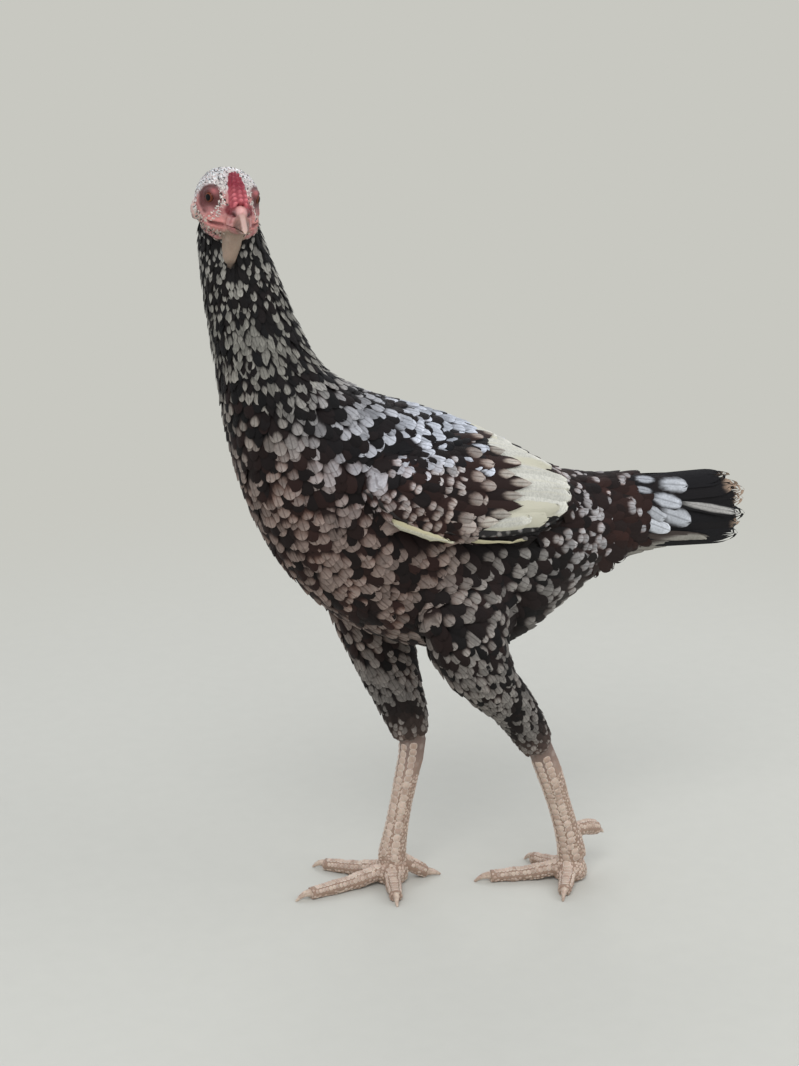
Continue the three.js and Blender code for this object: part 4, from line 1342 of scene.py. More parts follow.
def beak_finish():
    """Brownish pink horn with a pale ridge and growth lines."""
    material, tree, shader = new_finish("beak_horn", roughness=0.38, subsurface=0.08, specular=0.5)
    own = tree.split(shader_field(tree, "place"))
    side = tree.math("ABSOLUTE", own[1])
    place = object_place(tree)
    cloud = noise(tree, place, 260.0, 4.0)
    grain = noise(tree, tree.join(own[0] * 0.5, own[1] * 3.0, own[2] * 0.5), 1.6, 4.0)
    colour = blend(tree, tree.step(cloud, 0.3, 0.7), "beak_dark", "beak_light")
    ridge = 1.0 - tree.step(side + grain * 1.6, 2.3, 4.0)
    above = tree.step(own[2] + own[0] * 0.9, 11.0, 16.0)
    colour = blend(tree, ridge * above, colour, "beak_ridge")
    tip = tree.step(own[0], 34.5, 39.5)
    colour = blend(tree, tip * 0.7, colour, "beak_tip")
    root = 1.0 - tree.step(own[0], 26.5, 29.5)
    colour = blend(tree, root * 0.4, colour, "beak_root")
    colour = darken(tree, colour, 0.84 + grain * 0.3)
    flesh = darken(tree, shader_field(tree, "hue"), 0.82 + noise(tree, place, 1100.0, 3.0) * 0.36)
    colour = blend(tree, shader_field(tree, "horn"), flesh, colour)
    relief = grain + noise(tree, place, 700.0, 3.0) * 0.6
    show(tree, shader, colour, relief, 0.0003, 0.5)
    return material


def claw_finish():
    """Pale horn with fine streaks."""
    material, tree, shader = new_finish("claw_horn", roughness=0.42, subsurface=0.06, specular=0.5)
    place = object_place(tree)
    cloud = noise(tree, place, 240.0, 4.0)
    fine = noise(tree, place, 1500.0, 3.0)
    colour = blend(tree, tree.step(cloud, 0.25, 0.75), "claw_dark", "claw_light")
    colour = darken(tree, colour, 0.86 + fine * 0.24)
    show(tree, shader, colour, fine, 0.0002, 0.5)
    return material


# ---- Head feathers ----

MARKINGS |= {
    "crown": ((226, 229, 231), (30, 27, 27), (0.9, 0.3, 0.8), 0.3, 0.0),
    "lore": ((222, 214, 206), (38, 30, 29), (0.8, 0.34, 0.8), 0.3, 0.0),
    "cheek": ((206, 192, 178), (36, 30, 29), (0.84, 0.36, 0.8), 0.34, 0.0),
    "fringe": ((216, 216, 212), (60, 55, 53), (0.9, 0.2, 0.5), 0.12, 0.0),
    "hindneck": ((24, 22, 22), (172, 168, 161), (0.8, 0.36, 0.6), 0.6, 0.0),
}

# x, out, z in the head's frame in mm, lie, length, width, depth in mm, marking
HEAD_GUIDES = [
    (14, 7, 12, (-0.9, 0.1, 0.35), 4.6, 1.5, 0.5, "lore"),
    (16, 11, 2, (-0.8, 0.3, 0.3), 3.4, 1.3, 0.4, "lore"),
    (0, 8, 19, (-1, 0, 0.05), 5.4, 1.7, 0.7, "crown"),
    (-12, 6, 20, (-1, 0, -0.25), 6.4, 1.9, 0.9, "crown"),
    (-24, 6, 10, (-0.5, 0, -0.9), 8, 2.4, 1.2, "crown"),
    (-9, 20, 8, (-0.9, 0, -0.5), 5.4, 1.7, 0.8, "crown"),
    (-8, 22, 0, (-0.8, 0, -0.6), 5.5, 2, 0.8, "fringe"),
    (-18, 18, -8, (-0.5, 0, -0.9), 8, 2.4, 1.2, "fringe"),
    (3, 20, -10, (-0.7, 0, -0.7), 4.6, 1.5, 0.6, "cheek"),
    (-4, 20, -18, (-0.4, 0, -0.9), 5.4, 1.8, 0.8, "cheek"),
    (10, 12, -18, (-0.4, 0.1, -0.9), 4.2, 1.4, 0.6, "cheek"),
    (-2, 14, -24, (-0.2, 0, -1), 6.5, 2.5, 1.0, "hindneck"),
    (-26, 6, -10, (-0.2, 0, -1), 9, 3.2, 1.4, "hindneck"),
]
HEAD_REACH = 6.5  # mm over which one guide fades into the next
HEAD_SEED = 150


def head_fields(own):
    """The lie, sizes and markings of the head's feathers at points of the head's frame in mm."""
    places = np.array([row[:3] for row in HEAD_GUIDES], dtype=float)
    far = ((side_by_side(own)[:, None, :] - places[None, :, :]) ** 2).sum(axis=2)
    fields = mixed_fields(guide_weights(far, HEAD_REACH), HEAD_GUIDES)
    fields["lie"][:, 1] *= np.sign(own[:, 1])
    fields["lie"] = fields["lie"] @ HEAD_AXES.T
    return fields


def feathered_face(points):
    """How thickly feathers stand on the head's skin, from 0 on bare parts to 1."""
    own = to_head(points) * 1000
    half = side_by_side(own)
    head = head_zone(points)
    thick = (head > 0.3).astype(float)
    inside = np.where(head > 0.3)[0]
    bare_nodes = ["comb", "ear_lobe_left", "ear_lobe_right", "dewlap", "beak_upper", "beak_lower"]
    gap = np.full(len(points), 9.0)
    gap[inside] = away_from(bare_nodes, points[inside], 4.0)
    thick *= gap > 1.5
    thick *= gap_from(half, *EYE_RING) > 9.0
    gape, share = along(half, GAPE_PATH)
    thick *= gape > 2.2 + 1.2 * (1 - share)
    cheek = (half[:, 0] > 4) & (half[:, 2] < 0) & (half[:, 2] > -13)
    thick *= np.where(cheek, 0.55, 1.0)
    thick *= ~((half[:, 0] > 19.5) & (half[:, 2] < 5))
    throat, _ = along(own, THROAT_PATH)
    thick *= ~((throat < 8.5) & (own[:, 2] < -9))
    return thick


def make_head_coat(tools, spacing):
    """Short feathers over crown, lores and cheeks, with a pale fringe at the ears."""
    form = link("head_form", tools.skin.data.copy())
    mesh = form.data
    for name in ("bare", "hue", "ground", "tip"):
        mesh.attributes.remove(mesh.attributes[name])
    points = points_of(mesh)
    dress_form(mesh, head_fields(to_head(points) * 1000), crest=0.15 * MM, camber=0.16)
    values = {"Turn": 0.3, "Height Spread": 0.15 * MM, "Spacing": spacing, "Crowding": 6.0, "Seed": HEAD_SEED}
    piece = sow("head_feathers", mesh, feathered_face(points), tools, "bristle", form, values)
    drop(form)
    return piece


# ---- Skin and forms ----

# middle and size in mm, in the head's frame, of the head with its feathers and of the skull under them
HEAD_ROUND = ((-1, 0, 0), (31, 26, 25))
SKULL_ROUND = ((-1, 0, -1), (25, 20, 19.5))
INWARD_ROUNDS = 8  # rounds that smooth the way in which the skin is drawn in under the coat
THINNED_SHARE = 0.95  # of the hidden skin's triangles, how many are taken away
FORM_VOXEL = 2.5 * MM
BODY_ROUNDS, WING_ROUNDS = 14, 8  # rounds of smoothing for the forms under the coat and under the wings


def head_zone(points):
    """How surely points belong to the head, from 0 to 1."""
    own = to_head(points) * 1000
    return 1 - ramp(gap_from(own, *HEAD_ROUND), 0.95, 1.08)


def bare_zone(points, fields):
    """1 on the head and the bare legs, 0 under the coat."""
    legs = 1 - ramp(fields["depth"] * 1000, 0.3, 1.2)
    own = to_head(points) * 1000
    near = np.where((own[:, 0] > 0) & (np.abs(own[:, 1]) < 11) & (own[:, 2] > -50) & (own[:, 2] < -8))[0]
    strip = np.zeros(len(points))
    strip[near] = 1 - ramp(away_from(["dewlap"], points[near], 3.0), 0.8, 2.0)
    strip *= ramp(own[:, 2], -44, -32)
    return np.maximum(np.maximum(head_zone(points), legs), strip)


def make_form(name, nodes, guides, lift, rounds=BODY_ROUNDS):
    """A smooth outline of the plumage that vanes are laid on."""
    form = shell(name, nodes, FORM_VOXEL, 0.4 * MM)
    shade_smooth(form.data)
    relax(form.data, rounds)
    fields = guide_fields(points_of(form.data), guides)
    dress_form(form.data, fields, lift)
    return form, fields


def eye_fillings():
    """Balls that close the eye sockets, as centre and radius."""
    for side in (-1, 1):
        facing = Vector((math.cos(EYE_FACING), side * math.sin(EYE_FACING), 0))
        centre = Vector((EYE_PLACE.x, side * EYE_PLACE.y, EYE_PLACE.z)) + facing * EYE_SOCKET_FORWARD * MM
        yield HEAD_FRAME @ centre, EYE_SOCKET_RADIUS * MM


def make_skin(voxel, smoothing):
    """One skin over head, trunk, wings and legs, drawn in by the coat's depth where feathers cover it."""
    piece = shell("skin", FLESH_NODES, voxel, balls=eye_fillings())
    mesh = piece.data
    shade_smooth(mesh)
    relax(mesh, smoothing)
    points = points_of(mesh)
    fields = guide_fields(points, COAT_GUIDES)
    bare = bare_zone(points, fields)
    plain = np.where(bare < 0.02)[0]
    group = piece.vertex_groups.new(name="plain")
    group.add([int(index) for index in plain], 1.0, "REPLACE")
    kept = len(points) - THINNED_SHARE * len(plain)
    remodel(piece, "DECIMATE", vertex_group="plain", ratio=kept / len(points))
    mesh = piece.data
    refine_face(mesh)
    sculpt_head(mesh)
    points = points_of(mesh)
    fields = guide_fields(points, COAT_GUIDES)
    bare = bare_zone(points, fields)
    inward = normals_of(mesh)
    edges = edges_of(mesh)
    for _ in range(INWARD_ROUNDS):
        inward = unit(inward + neighbour_mean(inward, edges))
    move_points(mesh, points - inward * (fields["depth"] * (1 - bare))[:, None])
    store(mesh, bare=bare, hue=paint_skin(points), ground=fields["ground"], tip=fields["tip"])
    return piece


def unwrap(piece):
    """An unwrap of the skin's own shape, named SkinUV."""
    bpy.ops.object.select_all(action="DESELECT")
    bpy.context.view_layer.objects.active = piece
    piece.select_set(True)
    piece.data.uv_layers.new(name="SkinUV")
    bpy.ops.object.mode_set(mode="EDIT")
    bpy.ops.mesh.select_all(action="SELECT")
    bpy.ops.uv.smart_project(angle_limit=math.radians(66), island_margin=0.002)
    bpy.ops.object.mode_set(mode="OBJECT")


# ---- Coat ----

# shapes, spacing in mm, and what is added to the seed
COATS = {
    "nape": ("hackle", 2.7, 1),
    "hackle": ("hackle", 3.4, 2),
    "cape": ("contour", 4.6, 3),
    "breast": ("contour", 5.4, 4),
    "flank": ("contour", 5.8, 5),
    "mantle": ("contour", 5.0, 6),
    "saddle": ("contour", 5.2, 7),
    "rump": ("contour", 6.0, 8),
    "belly": ("contour", 6.0, 9),
    "thigh": ("contour", 3.9, 10),
}
WING_SPAN = (-110, 30)  # mm along the body between which the folded wing's own feathers lie
WING_OUT = 22  # mm out from the body's middle plane, and they start there
COVERTS_SHIFT, WING_SHIFT, TAIL_SHIFT = 20, 30, 31
COVERTS_SPACING = 5.2
TAIL_COVERT_END = 100 * MM


def under_head(points):
    """1 where the neck's outline runs inside the head or behind the bare throat strip."""
    own = to_head(points) * 1000
    strip = (own[:, 0] > 0) & (np.abs(own[:, 1] + 0.5) < 4.2) & (own[:, 2] > -36)
    return (gap_from(own, *SKULL_ROUND) < 1) | strip


def under_wing(points):
    """1 where the folded wing's own feathers lie, apart from its front and upper edge."""
    x, y, z = points.T * 1000
    out = np.abs(y - BODY_Y * 1000)
    share = np.clip((x + 120) / 175, 0, 1)
    low = 296 - 12 * share + 16 * (1 - share) ** 3
    high = 352 - 45 * share**2.2
    front, rear = WING_SPAN
    return (x > front) & (x < rear) & (z > low - 5) & (z < high - 8) & (out > WING_OUT)


def make_coat(name, form, fields, tools, settings):
    """One region's feathers."""
    kind, spacing, shift = COATS[name]
    points = points_of(form.data)
    zones = np.array([row[0] for row in COAT_GUIDES])[fields["coat"]]
    mask = (zones == name) & ~under_head(points) & (points[:, 0] < TAIL_COVERT_END)
    mask &= ~(under_wing(points) | under_flights(form, points))
    values = {"Spacing": spacing * settings.spacing * MM, "Seed": settings.seed + shift}
    return sow(f"coat_{name}", form.data, mask, tools, kind, form, values)


# ---- Placed feathers ----

MARKINGS |= {
    "secondary": ((207, 204, 185), (224, 223, 213), (0.6, 0.8, 0.55), 0.8, 0.0),
    "primary": ((24, 21, 22), (60, 54, 52), (0.5, 0.3, 0.2), 0.0, 0.0),
    "cream_edge": ((200, 193, 160), (222, 218, 196), (0.6, 0.6, 0.4), 0.6, 0.0),
    "rim": ((28, 20, 19), (196, 190, 180), (0.86, 0.2, 0.5), 0.6, 0.5),
    "rectrix": ((20, 19, 22), (40, 36, 38), (0.9, 0.2, 0.6), 0.0, 0.0),
    "frayed": ((21, 19, 21), (160, 138, 120), (1.04, 0.12, 1.2), 1.0, 0.0),
    "blade": ((24, 22, 24), (190, 188, 184), (0.72, 0.36, 0.6), 1.0, 0.0),
    "patch": ((26, 21, 22), (204, 208, 214), (0.8, 0.31, 0.9), 1.0, 0.0),
    "torn": ((22, 20, 22), (192, 196, 203), (0.76, 0.24, 0.62), 1.0, 0.0),
    "under": ((66, 58, 54), (158, 154, 146), (0.85, 0.42, 0.8), 1.0, 0.0),
}


def between(first, last, count):
    """Pairs spread evenly from one pair to another."""
    return list(zip(np.linspace(first[0], last[0], count), np.linspace(first[1], last[1], count)))


def spread(values, count):
    """A list as it is, one name for all, or numbers that run evenly between a pair's two."""
    if isinstance(values, list):
        return values
    return [values] * count if isinstance(values, str) else list(np.linspace(*values, count))


def row_of(roots, tips, *values):
    """Feathers from matching roots and tips, each (x, z) in mm, with widths, depths, crests and marks."""
    return list(zip(roots, tips, *(spread(value, len(roots)) for value in values)))


# The folded wing, from its upper edge down: a cream fan and black primaries, with coverts over their roots.
SECONDARY_ROOTS = between((-36, 366), (-62, 298), 12)
SECONDARY_WIDTHS = [30] * 8 + [28, 25, 22, 18]
SECONDARY_TIPS = [
    (8, 352), (18, 345), (28, 337), (37, 328), (45, 319), (52, 311),
    (57, 305), (55, 301), (48, 298), (37, 296), (24, 296), (8, 298),
]
RIMMED_TIPS = [
    (2, 345), (-5, 338), (6, 331), (-4, 325), (8, 317),
    (-2, 311), (0, 306), (-12, 302), (-24, 299),
]
SPOTTED_TIPS = [
    (-18, 347), (-28, 340), (-20, 334), (-32, 327), (-25, 320),
    (-37, 313), (-31, 307), (-44, 302), (-42, 297),
]
RIMMED = (between((-38, 352), (-66, 300), 9), RIMMED_TIPS)
SPOTTED = (between((-62, 354), (-84, 304), 9), SPOTTED_TIPS)
PRIMARIES = (between((-62, 296), (-60, 286), 5), between((48, 297), (14, 283), 5))
WING_EDGES = ([(-113, 312), (-66, 290)], [(-52, 288), (8, 282)])
WING_ROWS = {
    "flight": [
        *row_of(SECONDARY_ROOTS, SECONDARY_TIPS, SECONDARY_WIDTHS, (4, 4), (1.2, 0.7), "secondary"),
        *row_of(*PRIMARIES, (15, 15), (4, 5), (-0.4, -0.8), "primary"),
        *row_of(*WING_EDGES, (10, 6), (1, 2), (2.6, 0.6), "cream_edge"),
    ],
    "hackle": row_of(*RIMMED, (14, 15), (3, 3), (1.6, 1.2), "rim"),
    "contour": row_of(*SPOTTED, (12, 14), (3, 3), (2.1, 1.6), "big_spot"),
}
# The tail: black feathers to the frayed end, white patched ones over them and grey ones below.
RECTRIX_TIPS = [(196, 294), (205, 290), (210, 283), (213, 275), (213, 267), (211, 258), (206, 250)]
RECTRICES = (between((96, 300), (98, 260), 7), RECTRIX_TIPS)
RECTRIX_MARKS = ["rectrix", "frayed", "frayed", "frayed", "rectrix", "frayed", "rectrix"]
PATCH_ROOTS = [(106, 300), (104, 296), (102, 290), (96, 304), (108, 290), (92, 302), (100, 280)]
PATCH_TIPS = [(160, 290), (153, 279), (159, 266), (134, 296), (138, 271), (130, 288), (142, 262)]
PATCH_WIDTHS = [17, 17, 19, 15, 14, 13, 13]
PATCH_MARKS = ["patch", "torn", "patch", "torn", "patch", "torn", "patch"]
HANGING = ([(50, 256), (58, 258), (66, 262), (74, 262)], [(76, 238), (86, 236), (94, 240), (103, 247)])
UNDERTAIL = (between((86, 250), (116, 258), 7), between((124, 242), (192, 248), 7))
TAIL_ROWS = {
    "frayed": [
        *row_of(*RECTRICES, (16, 16), (2, 3), (-0.2, -1.4), RECTRIX_MARKS),
        *row_of([(128, 288)], [(204, 267)], (9, 9), (1, 1), (0.5, 0.5), "blade"),
        *row_of(*HANGING, (16, 16), (2, 2), (6.5, 3.5), "rump"),
    ],
    "contour": [
        *row_of(PATCH_ROOTS, PATCH_TIPS, PATCH_WIDTHS, (2, 2), (2.4, 0.9), PATCH_MARKS),
        *row_of(*UNDERTAIL, (13, 13), (2, 2), (1.2, 0.8), "under"),
    ],
}


SIDE_START = 0.2  # metres out from the body's middle plane, where a ray towards a form starts
SIDE_RETURN = 0.188  # metres back from there, for a place that no ray meets
FLIGHT_COVER = (0.05, 0.76)  # shares of a flight feather's length between which nothing grows under it


def on_side(tree, side, x, z, conform=1.0):
    """The place and the normal of a form where a point at x and z in mm shows from one side."""
    outward = Vector((0, SIDES[side], 0))
    start = Vector((x * MM, BODY_Y, z * MM)) + outward * SIDE_START
    place, normal, _, _ = tree.ray_cast(start, -outward)
    if place is None or (place.y - BODY_Y) * SIDES[side] < 0:
        place, normal, _, _ = tree.find_nearest(start - outward * SIDE_RETURN)
        if conform < 1:
            place = Vector((x * MM, place.y, z * MM))
    return np.array(place), np.array(normal)


def under_flights(form, points):
    """1 where the wings' flight feathers cover a form."""
    tree = bvh_of(form.data)
    covered = np.zeros(len(points), dtype=bool)
    low, high = FLIGHT_COVER
    for side in SIDES:
        for root, tip, width, *_ in WING_ROWS["flight"]:
            path = np.array([on_side(tree, side, *end)[0] * 1000 for end in (root, tip)])
            gap, share = along(points * 1000, path)
            covered |= (gap < 0.4 * width) & (share > low) & (share < high)
    return covered


def place_feathers(name, rows, side, form, tools, kind, conform, values):
    """Feathers from root to tip on one side of a form, or straight from one to the other at no conform."""
    tree = bvh_of(form.data)
    places, normals, ways = [], [], []
    for root, tip, *_ in rows:
        start, normal = on_side(tree, side, *root, conform)
        way = on_side(tree, side, *tip, conform)[0] - start
        if conform < 1:
            normal = unit(normal - way * (way @ normal) / (way @ way))
        places.append(start)
        normals.append(normal)
        ways.append(way)
    up, ways = np.array(normals), np.array(ways)
    _, _, *sizes, names = zip(*rows)
    fields = {key: np.array(size) * MM for key, size in zip(("width", "depth", "crest"), sizes)}
    fields |= {key: [marking(name)[key] for name in names] for key in MARK_KEYS}
    fields |= {"up": up, "lie": flat_on(ways, up), "length": np.linalg.norm(ways, axis=1)}
    mesh = roots_mesh(places, camber=0.12, conform=conform, **fields)
    values = {"Turn": 0.03, "Size Spread": 0.03, "Height Spread": 0.1 * MM, **values}
    return grow(name, mesh, tools.lay, tools, kind, form, values)


def make_coverts(side, form, tools, settings):
    """The small coverts of one wing, ahead of its flight feathers."""
    own = points_of(form.data) * 1000
    edge = -36 - 26 * (1 - np.clip((own[:, 2] - 290) / 60, 0, 1))
    values = {"Spacing": COVERTS_SPACING * settings.spacing * MM, "Seed": settings.seed + COVERTS_SHIFT}
    return sow(f"wing_coverts_{side}_coat", form.data, own[:, 0] < edge, tools, "contour", form, values)


# ---- Scales on legs and feet ----

# The scutes' front is turned from straight ahead by these many degrees towards the bird's left
SHANK_FRONT = {"left": 56.0, "right": 48.0}
# angle round the shank from its front, width, length, pitch in mm, and how far the row is shifted in pitches
SHANK_ROWS = [
    (-25, 6.9, 6.2, 5.1, 0.0),
    (25, 6.9, 6.2, 5.1, 0.5),
    (68, 5.0, 5.0, 4.3, 0.7),
]
TOE_ROWS = [(0, 8.6, 4.3, 3.3, 0.0), (-62, 4.2, 3.8, 3.3, 0.5), (62, 4.2, 3.8, 3.3, 0.5)]
HALLUX_ROWS = [(0, 6.4, 3.8, 3.1, 0.0), (-60, 3.8, 3.6, 3.1, 0.5), (60, 3.8, 3.6, 3.1, 0.5)]
SHANK_ENDS, TOE_ENDS = (11, 2), (2.5, 3.5)  # mm at a limb's start and end that stay free of large scutes
TOE_TAPER = 0.78  # size of a toe's last scutes as a share of its first
LIMB_REACH = 0.03  # metres within which a ray looks for a limb's skin
LIMB_RAYS, RAYS_NEEDED = 12, 8  # rays sent round a limb for its middle, and how many are too few
LIMB_RADIUS, SCUTE_RADIUS = 14 * MM, 13 * MM  # skin farther off than this belongs to another limb
SCALES_TOP = 0.118  # metres above the floor
SCUTE_SEED, SCALE_SEED = 160, 170


def ends_of(node):
    """The two ends of a long node, the upper one first."""
    points = points_of(frame["nodes"][node].data)
    middle = points.mean(axis=0)
    axis = np.linalg.svd(points - middle, full_matrices=False)[2][0]
    reach = (points - middle) @ axis
    ends = [middle + axis * reach.min(), middle + axis * reach.max()]
    return sorted(ends, key=lambda end: -end[2])


def outside(tree, centre, aim):
    """Where a ray from inside a limb meets its skin, and the normal there."""
    place, normal, _, _ = tree.ray_cast(Vector(centre), Vector(aim), LIMB_REACH)
    return (None, None) if place is None else (np.array(place), np.array(normal))


def centred(tree, point, axis):
    """A point moved to the middle of the limb round it."""
    side = unit(np.cross(axis, (0.3, 0.5, 0.8)))
    other = np.cross(axis, side)
    for _ in range(2):
        hits = []
        for turn in np.linspace(0, 2 * np.pi, LIMB_RAYS, endpoint=False):
            hit, _ = outside(tree, point, side * np.cos(turn) + other * np.sin(turn))
            if hit is not None and np.linalg.norm(hit - point) < LIMB_RADIUS:
                hits.append(hit)
        if len(hits) > RAYS_NEEDED:
            point = np.mean(hits, axis=0)
    return point


def limb_scutes(tree, start, end, front, rows, margins, taper=1.0):
    """Scutes in rows along a limb: place, normal, lie, length and width of each."""
    axis = unit(end - start)
    total = np.linalg.norm(end - start)
    front = unit(front - axis * (front @ axis))
    aside = np.cross(axis, front)
    scutes = []
    for angle, width, length, pitch, shift in rows:
        aim = front * math.cos(math.radians(angle)) + aside * math.sin(math.radians(angle))
        at = margins[0] + shift * pitch
        while at < total * 1000 - margins[1]:
            share = at / (total * 1000)
            centre = centred(tree, start + axis * at * MM, axis)
            place, normal = outside(tree, centre, aim)
            size = 1 + (taper - 1) * share
            if place is not None and np.linalg.norm(place - centre) < SCUTE_RADIUS:
                lie = flat_on(axis, normal)
                root = place - lie * length * 0.5 * MM
                scutes.append((root, normal, lie, length * size * MM, width * size * MM))
            at += pitch * size
    return scutes


def leg_scutes(tree, side):
    """Every large scute of one leg."""
    turn = math.radians(SHANK_FRONT[side])
    top, bottom = ends_of(f"shank_{side}")
    front = np.array((-math.cos(turn), -math.sin(turn), 0))
    scutes = limb_scutes(tree, top, bottom, front, SHANK_ROWS, SHANK_ENDS)
    foot = np.array(middle_of(f"foot_{side}"))
    for toe in TOES + ("hallux",):
        part = "hallux" if toe == "hallux" else f"toe_{toe}"
        ends = sorted(ends_of(f"{part}_{side}"), key=lambda end: np.linalg.norm(end - foot))
        rows = HALLUX_ROWS if toe == "hallux" else TOE_ROWS
        scutes += limb_scutes(tree, *ends, np.array((0, 0, 1.0)), rows, TOE_ENDS, TOE_TAPER)
    return scutes


def make_leg_form(skin):
    """A copy of the skin that scales are laid on."""
    form = link("leg_form", skin.data.copy())
    store(form.data, up=normals_of(form.data))
    return form


def make_scutes(side, form, tree, tools, finish, lift):
    """One leg's large scutes, and where they stand."""
    places, normals, lies, lengths, widths = map(np.array, zip(*leg_scutes(tree, side)))
    plate = {"depth": 0.05 * MM, "crest": lift, "camber": 0.0, "conform": 1.0}
    roots = roots_mesh(places, up=normals, lie=lies, length=lengths, width=widths, **plate)
    chance = {"Turn": 0.09, "Size Spread": 0.07, "Height Spread": 0.06 * MM, "Seed": SCUTE_SEED}
    values = {"Finish": finish, **chance}
    piece = grow(f"scutes_{side}", roots, tools.lay, tools, "scute", form, values)
    return piece, places + lies * lengths[:, None] / 2


def make_scales(form, middles, tools, finish, spacing):
    """Small scales over the rest of the bare legs."""
    mesh = form.data.copy()
    points = points_of(mesh)
    up = normals_of(mesh)
    near = KDTree(len(middles))
    for index, middle in enumerate(middles):
        near.insert(middle, index)
    near.balance()
    bareness = array_of(mesh.attributes["bare"].data, "value", 1)[:, 0]
    bare = (points[:, 2] < SCALES_TOP) & (bareness > 0.6)
    mask = np.zeros(len(points))
    for index in np.where(bare & (up[:, 2] > -0.55) & (points[:, 2] > 0.0012))[0]:
        mask[index] = near.find(points[index])[2] > 2.5 * MM
    down = np.array((0, 0, -1.0)) + np.array((-0.6, 0, 0)) * (points[:, 2] < 0.016)[:, None]
    size = np.where(points[:, 2] < 0.02, 3.0, 2.6) * MM
    plate = {"depth": 0.02 * MM, "crest": 0.08 * MM, "camber": 0.0, "conform": 1.0}
    store(mesh, lie=flat_on(down, up), length=size, width=size, **plate)
    chance = {"Turn": 0.4, "Height Spread": 0.04 * MM, "Seed": SCALE_SEED}
    values = {"Finish": finish, "Spacing": spacing, **chance}
    return sow("leg_scales", mesh, mask, tools, "scale", form, values)


def scute_finish():
    """Pinkish plates with pale rims, stained in places."""
    material, tree, shader = new_finish("leg_scutes", roughness=0.5, subsurface=0.06, specular=0.4)
    own = tree.split(shader_field(tree, "vane"))
    luck = tree.split(shader_field(tree, "luck"))
    place = object_place(tree)
    across = tree.math("ABSOLUTE", own[0])
    along_it = tree.math("ABSOLUTE", own[1] * 2.0 - 1.0)
    rim = tree.step(tree.math("MAXIMUM", across, along_it), 0.5, 0.92)
    plate = blend(tree, luck[0], "scute_dark", "scute_light")
    colour = blend(tree, rim * 0.6, plate, "scute_rim")
    stain = tree.step(noise(tree, place, 150.0, 4.0, 0.7), 0.5, 0.72)
    colour = blend(tree, stain * 0.5, colour, "scute_stain")
    colour = darken(tree, colour, 0.84 + noise(tree, place, 1400.0, 3.0) * 0.3)
    show(tree, shader, colour, noise(tree, place, 900.0, 4.0), 0.0002, 0.5)
    return material


def make_claws():
    """Every claw, in one piece that ends on the floor."""
    piece = make_horn("claws", CLAW_NODES, 0.42 * MM, 0.6 * MM)
    points = points_of(piece.data)
    points[:, 2] = np.maximum(points[:, 2], 0.0)
    move_points(piece.data, points)
    return piece


# ---- Stage ----

CAMERA_AT = (-0.6369, -1.2841, 0.6533)
CAMERA_TURN = (math.radians(75), 0, math.radians(-24))
FLOOR_TONE = tone("floor")
FLOOR_RADIUS = 2.4
FLOOR_CORNERS = 96
LENS, FILM_HEIGHT = 70, 36  # in mm
# place, size and aim of each lamp, in metres
LAMPS = {
    "key": ((-0.9, -1.3, 1.9), 1.2, (0, 0, 0.3)),
    "fill": ((1.3, -1.0, 1.2), 1.4, (0, 0, 0.25)),
    "back": ((0.6, 1.6, 1.7), 1.2, (0, 0, 0.3)),
}


def floor_finish(colour):
    """A matt floor that fades into an even backdrop of its own colour."""
    material, tree, shader = new_finish("floor_paint", 0.9, specular=0.1)
    place = object_place(tree)
    grain = noise(tree, place, 60.0, 5.0)
    show(tree, shader, darken(tree, colour, 0.975 + grain * 0.05), grain, 0.0006, 0.3)
    far = tree.vector("LENGTH", tree.vector("MULTIPLY", place, (1.0, 1.0, 0.0)), output="Value")
    glow = tree.get("ShaderNodeEmission", {"Color": colour})
    faded = {0: tree.step(far, 0.45, 1.3), 1: Wire(tree, shader.outputs[0]), 2: glow}
    surface = material.node_tree.nodes["Material Output"].inputs["Surface"]
    tree.feed(surface, tree.get("ShaderNodeMixShader", faded))
    return material


def make_floor(colour):
    """A pale floor disc."""
    mesh = bpy.data.meshes.new("floor")
    turns = np.linspace(0, math.tau, FLOOR_CORNERS, endpoint=False)
    rim = [(FLOOR_RADIUS * math.cos(turn), FLOOR_RADIUS * math.sin(turn), 0) for turn in turns]
    mesh.from_pydata(rim, [], [range(len(rim))])
    mesh.materials.append(floor_finish(colour))
    return link("floor", mesh)


def make_world(colour, strength):
    """Even light from all round, seen by the camera as the floor's own colour."""
    world = bpy.data.worlds.new("studio")
    world.use_nodes = True
    tree = Tree(world.node_tree)
    light = tree.get("ShaderNodeBackground", {"Color": "sky", "Strength": strength})
    seen = tree.get("ShaderNodeBackground", {"Color": colour})
    ray = tree.get("ShaderNodeLightPath", output="Is Camera Ray")
    mixed = tree.get("ShaderNodeMixShader", {0: ray, 1: light, 2: seen})
    tree.feed(world.node_tree.nodes["World Output"].inputs["Surface"], mixed)
    bpy.context.scene.world = world


def make_lamp(name, place, size, power, aim):
    """One square lamp that looks at a point."""
    lamp = bpy.data.lights.new(name, "AREA")
    lamp.size = size
    lamp.energy = power
    holder = bpy.data.objects.new(name, lamp)
    holder.location = place
    holder.rotation_euler = (Vector(aim) - Vector(place)).to_track_quat("-Z", "Y").to_euler()
    bpy.context.scene.collection.objects.link(holder)


def make_camera():
    """The camera, at the height and distance of the view the bird is posed for."""
    camera = bpy.data.cameras.new("camera")
    camera.lens = LENS
    camera.sensor_fit = "VERTICAL"
    camera.sensor_height = FILM_HEIGHT
    seat = bpy.data.objects.new("camera", camera)
    seat.location = CAMERA_AT
    seat.rotation_euler = CAMERA_TURN
    bpy.context.scene.collection.objects.link(seat)
    bpy.context.scene.camera = seat


# ---- Settings ----


